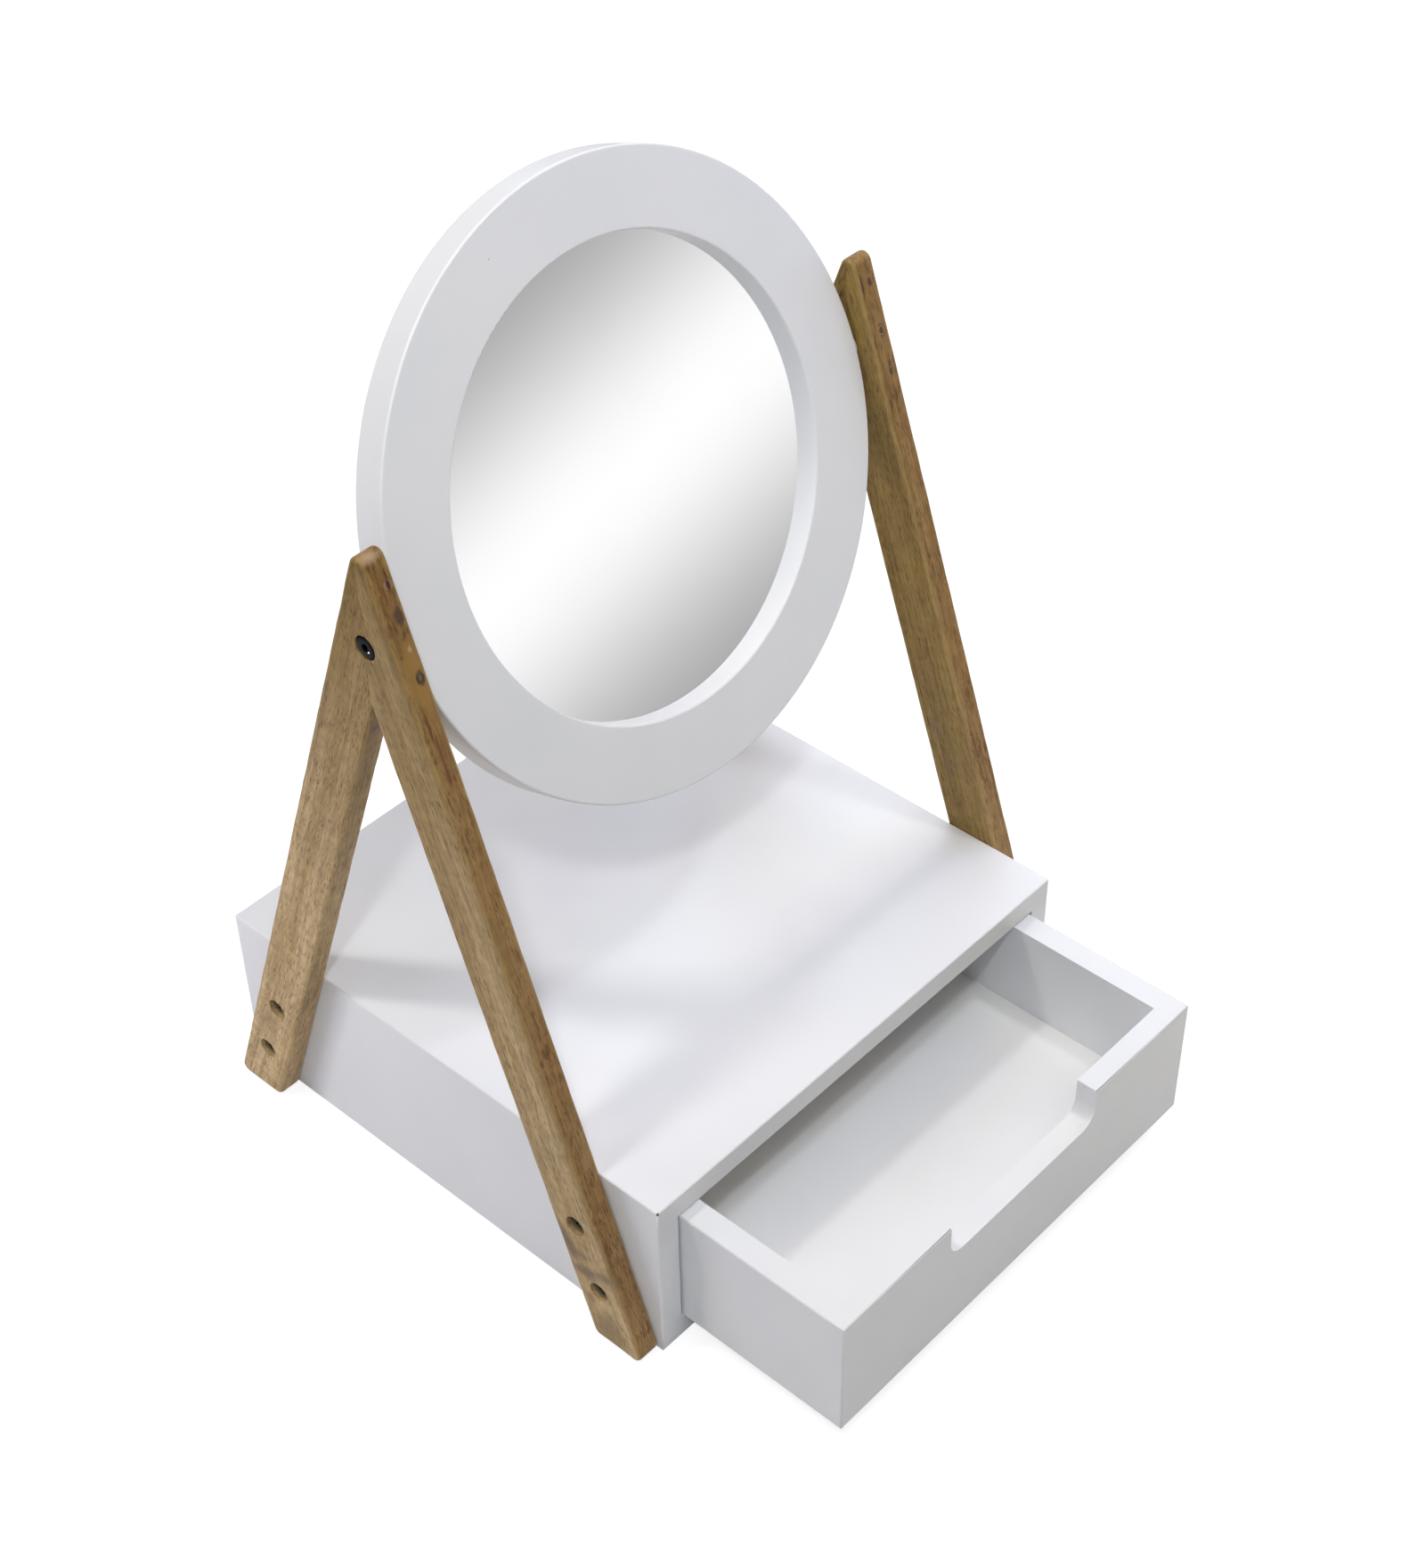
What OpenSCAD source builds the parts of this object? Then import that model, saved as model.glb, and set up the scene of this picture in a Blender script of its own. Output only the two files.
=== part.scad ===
// Tabletop vanity mirror: a round mirror that tilts between two timber A-frames on a box with one drawer.
// Front is -Y, up is +Z, and the origin is the middle of the box's underside.

/* [Box] */
// Outside width of the box
box_w = 300; // [260:1:400]
// Outside depth of the box
box_d = 300; // [260:1:400]
// Height of the box
box_h = 103; // [90:1:150]
// Thickness of the top, bottom and side boards
board_t = 13.5; // [11:0.5:16]
// Thickness of the back panel
back_t = 6; // [3:0.5:9]
// Width of the ledge that the back panel sits on
back_ledge = 7; // [4:0.5:9]
// Radius of the eased outer edges
edge_r = 1.2; // [0.5:0.1:2]

/* [Drawer] */
// How far the drawer stands open
drawer_open = 100; // [0:1:200]
// Thickness of the drawer front
drawer_front_t = 12; // [9:0.5:18]
// Thickness of the drawer sides
drawer_side_t = 13.5; // [9:0.5:16]
// Thickness of the drawer back
drawer_back_t = 12; // [9:0.5:16]
// Gap beside the drawer, each side
drawer_side_gap = 1.5; // [0.5:0.1:3]
// Running gap under the drawer
drawer_run_gap = 0.3; // [0.2:0.1:1]
// Gap over the drawer
drawer_top_gap = 1; // [0.5:0.1:3]
// Gap behind the closed drawer
drawer_rear_gap = 2; // [0.5:0.5:20]
// Thickness of the drawer floor panel
floor_t = 5; // [3:0.5:8]
// Height of the floor panel above the drawer's lower edge
floor_lift = 15; // [5:0.5:30]
// Depth of the grooves that hold the floor panel
groove_depth = 5; // [3:0.5:7]
// Slack of a panel in its groove or rebate
panel_slack = 0.2; // [0.1:0.1:0.5]
// Width of the finger notch
notch_w = 114; // [60:1:180]
// Depth of the finger notch
notch_depth = 21.5; // [12:0.5:30]
// Radius of the finger notch's lower corners
notch_r = 10; // [4:0.5:12]

/* [A-frames] */
// Thickness of the leg timber
leg_t = 13.5; // [12:0.5:20]
// Width of the leg timber
leg_w = 30; // [26:0.5:36]
// Height of the flat on top of the A-frames
frame_h = 415; // [385:1:480]
// Height of the sharp peak that the flat cuts away
peak_trim = 9.5; // [6:0.5:14]
// How far the peak stands in front of the box's middle
peak_forward = 4.8; // [0:0.1:15]
// How far the feet stay inside the box's front and back
foot_inset = 1.2; // [0:0.1:15]
// Radius of the eased long edges of the legs
leg_edge_r = 2.2; // [1:0.1:4]
// Radius of the rounded corners at the feet
foot_r = 4.5; // [2:0.5:8]
// Radius of the rounded corners at the peak
peak_r = 5.5; // [2:0.5:7]

/* [Leg fixings] */
// Height of the lower leg screws
low_screw_h = 34; // [25:1:40]
// Height of the upper leg screws
high_screw_h = 73; // [55:1:75]
// Diameter of the counterbores in the legs
counterbore_d = 11.5; // [9:0.5:14]
// Depth of the counterbores in the legs
counterbore_depth = 7; // [4:0.5:8]
// Diameter of the screw heads
screw_head_d = 8.5; // [7:0.5:9]
// Thickness of the screw heads
screw_head_t = 2.6; // [2:0.1:3.5]
// Diameter of the screw shanks
screw_d = 4; // [3:0.1:5]
// Length of the screws under the head
screw_len = 17; // [14:0.5:18]
// Radial slack of screws and dowels in their holes
fixing_slack = 0.1; // [0.05:0.05:0.2]
// Diameter of the dowels through the mitre
dowel_d = 4.6; // [4:0.1:5]
// Timber left behind the blind end of a dowel
dowel_cover = 3; // [2:0.5:6]
// Distance of the left dowels from the leg's inner face
left_dowel_in = 4; // [3.5:0.1:9]
// Distance of the right dowels from the leg's inner face
right_dowel_in = 8; // [3.5:0.1:9]
// Heights of the left dowels above the pivot
left_dowel_rises = [32.5, 18.5, -9.5]; // [-12:0.5:35]
// Heights of the right dowels above the pivot
right_dowel_rises = [34.5, 11, -9]; // [-12:0.5:35]

/* [Pivots] */
// Drop of the pivot below the flat top
pivot_drop = 47; // [42:0.5:50]
// Diameter of the pivot bolt's shank
bolt_d = 6; // [5:0.5:6.5]
// Diameter of the pivot bolt's head
bolt_head_d = 12; // [10:0.5:12.5]
// Thickness of the pivot bolt's head
bolt_head_t = 3.3; // [2.5:0.1:4]
// How far the bolt head lies below the leg's face
bolt_sunk = 0.5; // [0:0.1:1.5]
// Across-flats size of the bolt's hexagon socket
socket_af = 4; // [3:0.5:5]
// Depth of the bolt's hexagon socket
socket_depth = 2; // [1.5:0.1:2.5]
// Radial running clearance of the bolt in the leg
bolt_run = 0.06; // [0.02:0.01:0.1]
// Clearance around and under the bolt head
head_gap = 0.3; // [0.2:0.1:0.5]
// Diameter of the washer between leg and mirror
washer_d = 16; // [14:0.5:20]
// Thickness of the washer
washer_t = 0.9; // [0.6:0.1:2]
// Running gap between washer and mirror rim
washer_gap = 0.3; // [0.2:0.1:1]
// Diameter of the threaded insert in the mirror rim
insert_d = 9; // [8.5:0.5:10]
// Length of the threaded insert
insert_len = 13; // [10:0.5:16]
// How far the insert lies below the mirror's rim
insert_sunk = 0.1; // [0:0.1:1]
// Radial slack of the threads, which are left plain
thread_slack = 0.05; // [0.02:0.01:0.1]
// Length of the insert that the bolt leaves empty
bolt_short = 1; // [0:0.5:4]

/* [Mirror] */
// Width of the flat band round the glass
ring_band = 37; // [30:0.5:45]
// Thickness of the mirror frame
ring_t = 18; // [16:0.5:24]
// Radius of the eased edges of the mirror frame
ring_edge_r = 1.2; // [0.5:0.1:2]
// Depth of the glass behind the frame's front face
glass_depth = 13; // [11:0.5:13]
// Width of the rebate that holds glass and backing
rebate_w = 5; // [3:0.5:6]
// Thickness of the mirror glass
glass_t = 3; // [2:0.5:4]
// Radial slack of glass and backing in the rebate
disc_slack = 0.4; // [0.2:0.1:1]
// Lean of the mirror behind the vertical, in degrees
mirror_lean = 19.3; // [-45:0.1:45]
// Number of turn clips on the back
clip_count = 4; // [3:1:8]
// Length of a turn clip
clip_len = 20; // [18:0.5:24]
// Width of a turn clip
clip_w = 9; // [7:0.5:12]
// Thickness of a turn clip
clip_t = 1; // [0.8:0.1:1.5]
// Distance from the rebate to the edge of a clip that is turned away
clip_clear = 1; // [0.5:0.5:3]
// Diameter of the clip screws' heads
clip_head_d = 5.5; // [4:0.5:6]
// Thickness of the clip screws' heads
clip_head_t = 1.6; // [1:0.1:2]
// Diameter of the clip screws' shanks
clip_screw_d = 2.6; // [2:0.1:3]
// Length of the clip screws under the head
clip_screw_len = 10; // [6:0.5:12]

/* [Hidden] */

$fn = 96;
RING_FN = 180;
HEXAGON = 6;
LEFT = -1;
RIGHT = 1;
FRONT = -1;
REAR = 1;
// How far a cut runs past the face that it opens
cut_past = 1;

// Box and drawer
opening_w = box_w - 2 * board_t;
opening_top = box_h - board_t;
panel_w = opening_w + 2 * back_ledge;
panel_h = box_h - 2 * board_t + 2 * back_ledge;
drawer_w = opening_w - 2 * drawer_side_gap;
drawer_z = board_t + drawer_run_gap;
drawer_h = opening_top - drawer_top_gap - drawer_z;
drawer_y = -box_d / 2 - drawer_open;
drawer_len = box_d - back_t - drawer_rear_gap;
drawer_inner_w = drawer_w - 2 * drawer_side_t;
floor_z = drawer_z + floor_lift;
drawer_back_y = drawer_y + drawer_len - drawer_back_t;

// A-frames, seen from the side: lines through the feet and the sharp peak
inner_x = box_w / 2;
outer_x = inner_x + leg_t;
peak_h = frame_h + peak_trim;
peak_y = -peak_forward;
front_foot_y = -box_d / 2 + foot_inset;
rear_foot_y = box_d / 2 - foot_inset;
front_lean = atan((peak_y - front_foot_y) / peak_h);
rear_lean = atan((rear_foot_y - peak_y) / peak_h);
front_run = leg_w / cos(front_lean);
rear_run = leg_w / cos(rear_lean);
crotch_h = (rear_foot_y - rear_run - front_foot_y - front_run) / (tan(front_lean) + tan(rear_lean));
crotch_y = front_foot_y + front_run + crotch_h * tan(front_lean);

// The mitre line runs from the crotch to the sharp peak, and the pivot lies on it
function mitre_y(h) = crotch_y + (peak_y - crotch_y) * (h - crotch_h) / (peak_h - crotch_h);
pivot_h = frame_h - pivot_drop;
pivot_y = mitre_y(pivot_h);

// Mirror, whose rim just clears the washers
ring_r = inner_x - washer_t - washer_gap;
hole_r = ring_r - ring_band;
rebate_r = hole_r + rebate_w;
disc_r = rebate_r - disc_slack;
backing_t = ring_t - glass_depth - glass_t;
clip_pivot_r = rebate_r + clip_clear + clip_w / 2;
clip_hole_d = clip_screw_d + 2 * fixing_slack;

// Bolt, from the leg's face to its end in the insert
bolt_seat_depth = bolt_sunk + bolt_head_t + head_gap;
insert_x = ring_r - insert_sunk;
bolt_tip_x = insert_x - insert_len + bolt_short;
bolt_len = outer_x - bolt_sunk - bolt_head_t - bolt_tip_x;
socket_r = socket_af / 2 / cos(180 / HEXAGON);

// Leg screws: cone at the tip and cross recess in the head
screw_tip_len = screw_d;
screw_tip_d = screw_d / 4;
cross_len = screw_head_d / 2;
cross_w = screw_d / 5;
cross_depth = screw_head_t / 2;

// Takes the sharp corner p between the unit directions u and v off an outline, leaving an arc
module corner_cut(p, u, v, r) {
    half = acos(u * v) / 2;
    middle = (u + v) / norm(u + v);
    centre = p + middle * r / sin(half);
    reach = r / tan(half);
    difference() {
        polygon([p + u * reach, centre, p + v * reach, p - middle * r]);
        translate(centre) circle(r);
    }
}

// Rectangle from the origin whose four corners are arcs
module eased_rect(w, h, r) {
    difference() {
        square([w, h]);
        corner_cut([0, 0], [1, 0], [0, 1], r);
        corner_cut([w, 0], [-1, 0], [0, 1], r);
        corner_cut([w, h], [-1, 0], [0, -1], r);
        corner_cut([0, h], [1, 0], [0, -1], r);
    }
}

// Block whose twelve edges are eased, with its low corner at the origin
module eased_block(size, r) {
    intersection() {
        linear_extrude(size.z) eased_rect(size.x, size.y, r);
        translate([0, size.y, 0]) rotate([90, 0, 0]) linear_extrude(size.y) eased_rect(size.x, size.z, r);
        rotate([90, 0, 90]) linear_extrude(size.x) eased_rect(size.y, size.z, r);
    }
}

module for_side(side) {
    mirror([side == LEFT ? 1 : 0, 0, 0]) children();
}

// Box: every board is the part of one eased block that lies in its own region
module box_board(low, high) {
    intersection() {
        translate([-box_w / 2, -box_d / 2, 0]) eased_block([box_w, box_d, box_h], edge_r);
        translate(low) cube(high - low);
    }
}

module back_rebate() {
    translate([-panel_w / 2 - panel_slack, box_d / 2 - back_t, (box_h - panel_h) / 2 - panel_slack])
        cube([panel_w + 2 * panel_slack, back_t + cut_past, panel_h + 2 * panel_slack]);
}

module carcass_top() {
    color("white") difference() {
        box_board([-box_w, -box_d, box_h - board_t], [box_w, box_d, box_h + cut_past]);
        back_rebate();
    }
}

module carcass_bottom() {
    color("white") difference() {
        box_board([-box_w, -box_d, -cut_past], [box_w, box_d, board_t]);
        back_rebate();
    }
}

module carcass_side(side) {
    color("white") difference() {
        for_side(side) box_board([opening_w / 2, -box_d, board_t], [box_w, box_d, box_h - board_t]);
        back_rebate();
        leg_screw_holes(side);
    }
}

module carcass_back() {
    color("white") translate([-panel_w / 2, box_d / 2 - back_t, (box_h - panel_h) / 2])
        cube([panel_w, back_t, panel_h]);
}

// Drawer
module drawer_block() {
    translate([-drawer_w / 2, drawer_y, drawer_z]) eased_block([drawer_w, drawer_len, drawer_h], edge_r);
}

module floor_groove() {
    translate([-drawer_inner_w / 2 - groove_depth, drawer_y + drawer_front_t - groove_depth, floor_z])
        cube([
            drawer_inner_w + 2 * groove_depth,
            drawer_len - drawer_front_t - drawer_back_t + 2 * groove_depth,
            floor_t + panel_slack
        ]);
}

// Finger notch: straight sides, flat bottom and rounded lower corners
module notch_outline() {
    top = drawer_z + drawer_h;
    difference() {
        translate([-notch_w / 2, top - notch_depth]) square([notch_w, notch_depth + cut_past]);
        corner_cut([-notch_w / 2, top - notch_depth], [1, 0], [0, 1], notch_r);
        corner_cut([notch_w / 2, top - notch_depth], [-1, 0], [0, 1], notch_r);
    }
}

module drawer_front() {
    color("white") difference() {
        intersection() {
            drawer_block();
            translate([-drawer_w, drawer_y - cut_past, 0]) cube([2 * drawer_w, drawer_front_t + cut_past, box_h]);
        }
        floor_groove();
        translate([0, drawer_y + drawer_front_t + cut_past, 0]) rotate([90, 0, 0])
            linear_extrude(drawer_front_t + 2 * cut_past) notch_outline();
    }
}

module drawer_side(side) {
    color("white") difference() {
        intersection() {
            drawer_block();
            for_side(side) translate([drawer_inner_w / 2, drawer_y + drawer_front_t, 0])
                cube([drawer_w, drawer_len, box_h]);
        }
        floor_groove();
    }
}

module drawer_back() {
    color("white") difference() {
        intersection() {
            drawer_block();
            translate([-drawer_inner_w / 2, drawer_back_y, 0]) cube([drawer_inner_w, drawer_len, box_h]);
        }
        floor_groove();
    }
}

module drawer_floor() {
    color("whitesmoke") translate([
        -drawer_inner_w / 2 - groove_depth + panel_slack,
        drawer_y + drawer_front_t - groove_depth + panel_slack,
        floor_z
    ])
        cube([
            drawer_inner_w + 2 * (groove_depth - panel_slack),
            drawer_len - drawer_front_t - drawer_back_t + 2 * (groove_depth - panel_slack),
            floor_t
        ]);
}

// A-frame legs. A leg is described by its end: FRONT leans back from the front edge, REAR leans forward.
function foot_y(end) = end == FRONT ? front_foot_y : rear_foot_y;
function lean(end) = end == FRONT ? front_lean : rear_lean;
function run(end) = end == FRONT ? front_run : rear_run;
function up_leg(end) = [-end * sin(lean(end)), cos(lean(end))];
function outer_edge_y(end, h) = foot_y(end) - end * h * tan(lean(end));
function centre_line_y(end, h) = outer_edge_y(end, h) - end * run(end) / 2;

// Side outline of the space on a leg's own side of the mitre line, between the floor and the flat top
module leg_side_outline(end) {
    polygon([
        [mitre_y(0), 0],
        [foot_y(end) + end * leg_w, 0],
        [foot_y(end) + end * leg_w, frame_h],
        [mitre_y(frame_h), frame_h]
    ]);
}

// What rounds off the two corners of the foot and the outer corner of the peak, seen from the side
module leg_side_rounding(end) {
    inwards = [-end, 0];
    translate([inner_x - cut_past, 0, 0]) rotate([90, 0, 90]) linear_extrude(leg_t + 2 * cut_past) {
        corner_cut([foot_y(end), 0], inwards, up_leg(end), foot_r);
        corner_cut([foot_y(end) - end * run(end), 0], -inwards, up_leg(end), foot_r);
        corner_cut([outer_edge_y(end, frame_h), frame_h], inwards, -up_leg(end), peak_r);
    }
}

// What eases the edges of the foot and of the flat top, seen from the front
module leg_end_easing() {
    translate([0, box_d, 0]) rotate([90, 0, 0]) linear_extrude(2 * box_d) {
        corner_cut([inner_x, 0], [1, 0], [0, 1], leg_edge_r);
        corner_cut([outer_x, 0], [-1, 0], [0, 1], leg_edge_r);
        corner_cut([inner_x, frame_h], [1, 0], [0, -1], leg_edge_r);
        corner_cut([outer_x, frame_h], [-1, 0], [0, -1], leg_edge_r);
    }
}

// Square-sawn bar with eased long edges, standing on the leg's lean
module leg_bar(end) {
    translate([inner_x, foot_y(end), 0]) rotate([end * lean(end), 0, 0])
        translate([0, end == FRONT ? 0 : -leg_w, -leg_w])
            linear_extrude(peak_h / cos(lean(end)) + 2 * leg_w) eased_rect(leg_t, leg_w, leg_edge_r);
}

module leg_screw_holes(side) {
    for (end = [FRONT, REAR], h = [low_screw_h, high_screw_h])
        for_side(side) translate([outer_x, centre_line_y(end, h), h]) rotate([0, -90, 0]) {
            translate([0, 0, -cut_past]) cylinder(d = counterbore_d, h = counterbore_depth + cut_past);
            translate([0, 0, -cut_past])
                cylinder(d = screw_d + 2 * fixing_slack, h = counterbore_depth + screw_len + 2 * cut_past);
        }
}

// Bolt hole with its recess for the head, on the mitre line
module pivot_hole(side) {
    for_side(side) translate([outer_x, pivot_y, pivot_h]) rotate([0, -90, 0]) {
        translate([0, 0, -cut_past]) cylinder(d = bolt_head_d + 2 * head_gap, h = bolt_seat_depth + cut_past);
        translate([0, 0, -cut_past]) cylinder(d = bolt_d + 2 * bolt_run, h = leg_t + 2 * cut_past);
    }
}

// Dowels run level from the front edge across the mitre, planed flush in front and blind at the rear
function dowel_rises(side) = side == LEFT ? left_dowel_rises : right_dowel_rises;
function dowel_in(side) = side == LEFT ? left_dowel_in : right_dowel_in;

module dowel_body(side, rise, r) {
    h = pivot_h + rise;
    from_y = outer_edge_y(FRONT, h) - dowel_d;
    to_y = outer_edge_y(REAR, h) - dowel_cover;
    for_side(side) translate([inner_x + dowel_in(side), from_y, h])
        rotate([-90, 0, 0]) cylinder(r = r, h = to_y - from_y);
}

module leg(side, end) {
    color("peru") difference() {
        for_side(side) difference() {
            intersection() {
                leg_bar(end);
                translate([inner_x - cut_past, 0, 0]) rotate([90, 0, 90])
                    linear_extrude(leg_t + 2 * cut_past) leg_side_outline(end);
            }
            leg_side_rounding(end);
            leg_end_easing();
        }
        leg_screw_holes(side);
        pivot_hole(side);
        for (rise = dowel_rises(side)) dowel_body(side, rise, dowel_d / 2 + fixing_slack);
    }
}

// Screw along Z with the underside of its head at the origin
module leg_screw() {
    difference() {
        union() {
            translate([0, 0, -screw_head_t]) cylinder(d = screw_head_d, h = screw_head_t);
            cylinder(d = screw_d, h = screw_len - screw_tip_len);
            translate([0, 0, screw_len - screw_tip_len])
                cylinder(d1 = screw_d, d2 = screw_tip_d, h = screw_tip_len);
        }
        for (turn = [0, 90]) rotate(turn)
            translate([-cross_len / 2, -cross_w / 2, -screw_head_t - cut_past])
                cube([cross_len, cross_w, cross_depth + cut_past]);
    }
}

module leg_screws(side) {
    color("dimgray") for (end = [FRONT, REAR], h = [low_screw_h, high_screw_h])
        for_side(side) translate([outer_x - counterbore_depth, centre_line_y(end, h), h])
            rotate([0, -90, 0]) leg_screw();
}

// The front end of each dowel is planed off along the leg's front edge
module mitre_dowels(side) {
    color("saddlebrown") difference() {
        for (rise = dowel_rises(side)) dowel_body(side, rise, dowel_d / 2);
        for_side(side) translate([inner_x, front_foot_y, 0]) rotate([-front_lean, 0, 0])
            translate([0, -leg_w, 0]) cube([leg_t, leg_w, peak_h / cos(front_lean)]);
    }
}

// Pivot hardware
module pivot_washer(side) {
    color("gainsboro") for_side(side) translate([inner_x - washer_t, pivot_y, pivot_h]) rotate([0, 90, 0])
        difference() {
            cylinder(d = washer_d, h = washer_t);
            translate([0, 0, -cut_past]) cylinder(d = bolt_d + 2 * head_gap, h = washer_t + 2 * cut_past);
        }
}

module pivot_bolt(side) {
    color("black") for_side(side) translate([outer_x - bolt_sunk, pivot_y, pivot_h]) rotate([0, -90, 0])
        difference() {
            union() {
                cylinder(d = bolt_head_d, h = bolt_head_t);
                translate([0, 0, bolt_head_t]) cylinder(d = bolt_d, h = bolt_len);
            }
            translate([0, 0, -cut_past]) cylinder(r = socket_r, h = socket_depth + cut_past, $fn = HEXAGON);
        }
}

// Round body on the pivot's axis that runs inwards from the distance from_x
module on_pivot(side, d, len, from_x) {
    for_side(side) translate([from_x, pivot_y, pivot_h]) rotate([0, -90, 0]) cylinder(d = d, h = len);
}

module pivot_insert(side) {
    color("goldenrod") difference() {
        on_pivot(side, insert_d, insert_len, insert_x);
        on_pivot(side, bolt_d + 2 * thread_slack, insert_len + 2 * cut_past, insert_x + cut_past);
    }
}

// Mirror parts are drawn upright about their own centre, front towards -Y, and then leant back on the pivot
module hung() {
    translate([0, pivot_y, pivot_h]) rotate([-mirror_lean, 0, 0]) children();
}

// Stands a disc that is drawn from the front face backwards, in the +Z direction, on the frame's front face
module from_front(depth) {
    translate([0, -ring_t / 2 + depth, 0]) rotate([-90, 0, 0]) children();
}

module clip_places() {
    for (i = [0 : clip_count - 1]) rotate([0, 0, 360 * (i + 0.5) / clip_count])
        translate([clip_pivot_r, 0, 0]) children();
}

module mirror_frame() {
    insert_hole_d = insert_d + 2 * thread_slack;
    insert_hole_len = insert_sunk + insert_len + cut_past;
    color("white") difference() {
        hung() from_front(0) difference() {
            rotate_extrude($fn = RING_FN) translate([hole_r, 0]) eased_rect(ring_band, ring_t, ring_edge_r);
            translate([0, 0, glass_depth]) cylinder(r = rebate_r, h = ring_t, $fn = RING_FN);
            clip_places() translate([0, 0, ring_t - clip_screw_len]) cylinder(d = clip_hole_d, h = ring_t);
        }
        for (side = [LEFT, RIGHT]) on_pivot(side, insert_hole_d, insert_hole_len + cut_past, ring_r + cut_past);
    }
}

module mirror_glass() {
    color("lightsteelblue") hung() from_front(glass_depth)
        cylinder(r = disc_r, h = glass_t, $fn = RING_FN);
}

module mirror_backing() {
    color("sienna") hung() from_front(glass_depth + glass_t)
        cylinder(r = disc_r, h = backing_t, $fn = RING_FN);
}

module backing_clips() {
    color("silver") hung() from_front(ring_t) clip_places() difference() {
        union() {
            cylinder(d = clip_w, h = clip_t);
            translate([-clip_len + clip_w, -clip_w / 2, 0]) cube([clip_len - clip_w, clip_w, clip_t]);
            translate([-clip_len + clip_w, 0, 0]) cylinder(d = clip_w, h = clip_t);
        }
        translate([0, 0, -cut_past]) cylinder(d = clip_hole_d, h = clip_t + 2 * cut_past);
    }
}

module clip_screws() {
    color("gray") hung() from_front(ring_t + clip_t) clip_places() {
        cylinder(d = clip_head_d, h = clip_head_t);
        translate([0, 0, -clip_screw_len]) cylinder(d = clip_screw_d, h = clip_screw_len);
    }
}

carcass_top();
carcass_bottom();
carcass_side(LEFT);  // carcass_left_side
carcass_side(RIGHT);  // carcass_right_side
carcass_back();
drawer_front();
drawer_side(LEFT);  // drawer_left_side
drawer_side(RIGHT);  // drawer_right_side
drawer_back();
drawer_floor();
leg(LEFT, FRONT);  // left_front_leg
leg(LEFT, REAR);  // left_rear_leg
leg(RIGHT, FRONT);  // right_front_leg
leg(RIGHT, REAR);  // right_rear_leg
leg_screws(LEFT);  // left_leg_screws
leg_screws(RIGHT);  // right_leg_screws
mitre_dowels(LEFT);  // left_mitre_dowels
mitre_dowels(RIGHT);  // right_mitre_dowels
pivot_washer(LEFT);  // left_pivot_washer
pivot_washer(RIGHT);  // right_pivot_washer
pivot_bolt(LEFT);  // left_pivot_bolt
pivot_bolt(RIGHT);  // right_pivot_bolt
pivot_insert(LEFT);  // left_pivot_insert
pivot_insert(RIGHT);  // right_pivot_insert
mirror_frame();
mirror_glass();
mirror_backing();
backing_clips();
clip_screws();
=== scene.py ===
"""Dresses the tabletop vanity mirror: a painted box with one drawer, two timber A-frames and a tilting round mirror.

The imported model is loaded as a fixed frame. Each sub-assembly is a class that holds its sizes in millimetres and makes
its own pieces, and each finish is a small frozen class that makes its material. The studio class holds the floor, the
lamps, the strip that the mirror reflects, and the camera.
"""

import logging
import math
from collections.abc import Callable, Iterable, Sequence
from dataclasses import dataclass
from enum import Enum
from functools import cache, partialmethod

import bmesh
import bpy
from mathutils import Euler, Matrix, Vector, noise


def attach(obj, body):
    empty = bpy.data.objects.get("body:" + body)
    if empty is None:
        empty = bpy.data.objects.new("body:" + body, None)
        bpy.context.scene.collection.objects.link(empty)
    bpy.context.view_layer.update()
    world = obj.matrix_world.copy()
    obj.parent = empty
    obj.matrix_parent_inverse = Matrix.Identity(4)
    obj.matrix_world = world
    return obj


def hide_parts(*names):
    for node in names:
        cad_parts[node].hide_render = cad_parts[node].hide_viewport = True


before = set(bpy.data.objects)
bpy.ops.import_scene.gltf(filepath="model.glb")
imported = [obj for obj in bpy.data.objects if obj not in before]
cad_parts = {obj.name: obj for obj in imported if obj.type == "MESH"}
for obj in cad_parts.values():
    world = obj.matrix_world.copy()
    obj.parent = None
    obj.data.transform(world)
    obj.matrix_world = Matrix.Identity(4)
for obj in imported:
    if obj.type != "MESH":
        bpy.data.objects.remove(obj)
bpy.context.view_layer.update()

MM = 0.001
LOG = logging.getLogger("vanity_mirror")

Colour = Point = tuple[float, float, float]
Pair = tuple[float, float]
Socket = bpy.types.NodeSocket
Mesh = bpy.types.Mesh
Material = bpy.types.Material
WHITE = (1.0, 1.0, 1.0)


class Option(Enum):
    """A named option."""

    @property
    def word(self) -> str:
        """The option's name as the nodes spell it."""
        return self.name.lower()


class Body(Option):
    """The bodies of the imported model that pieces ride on."""

    FRAME = "frame"
    DRAWER = "drawer"
    MIRROR = "mirror"


class Side(Option):
    """Which end of the box a piece belongs to, as the sign of its x."""

    LEFT = -1
    RIGHT = 1


class End(Option):
    """Whether a leg stands at the front or the rear, as the sign of its foot's y."""

    FRONT = -1
    REAR = 1


# Node trees


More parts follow.
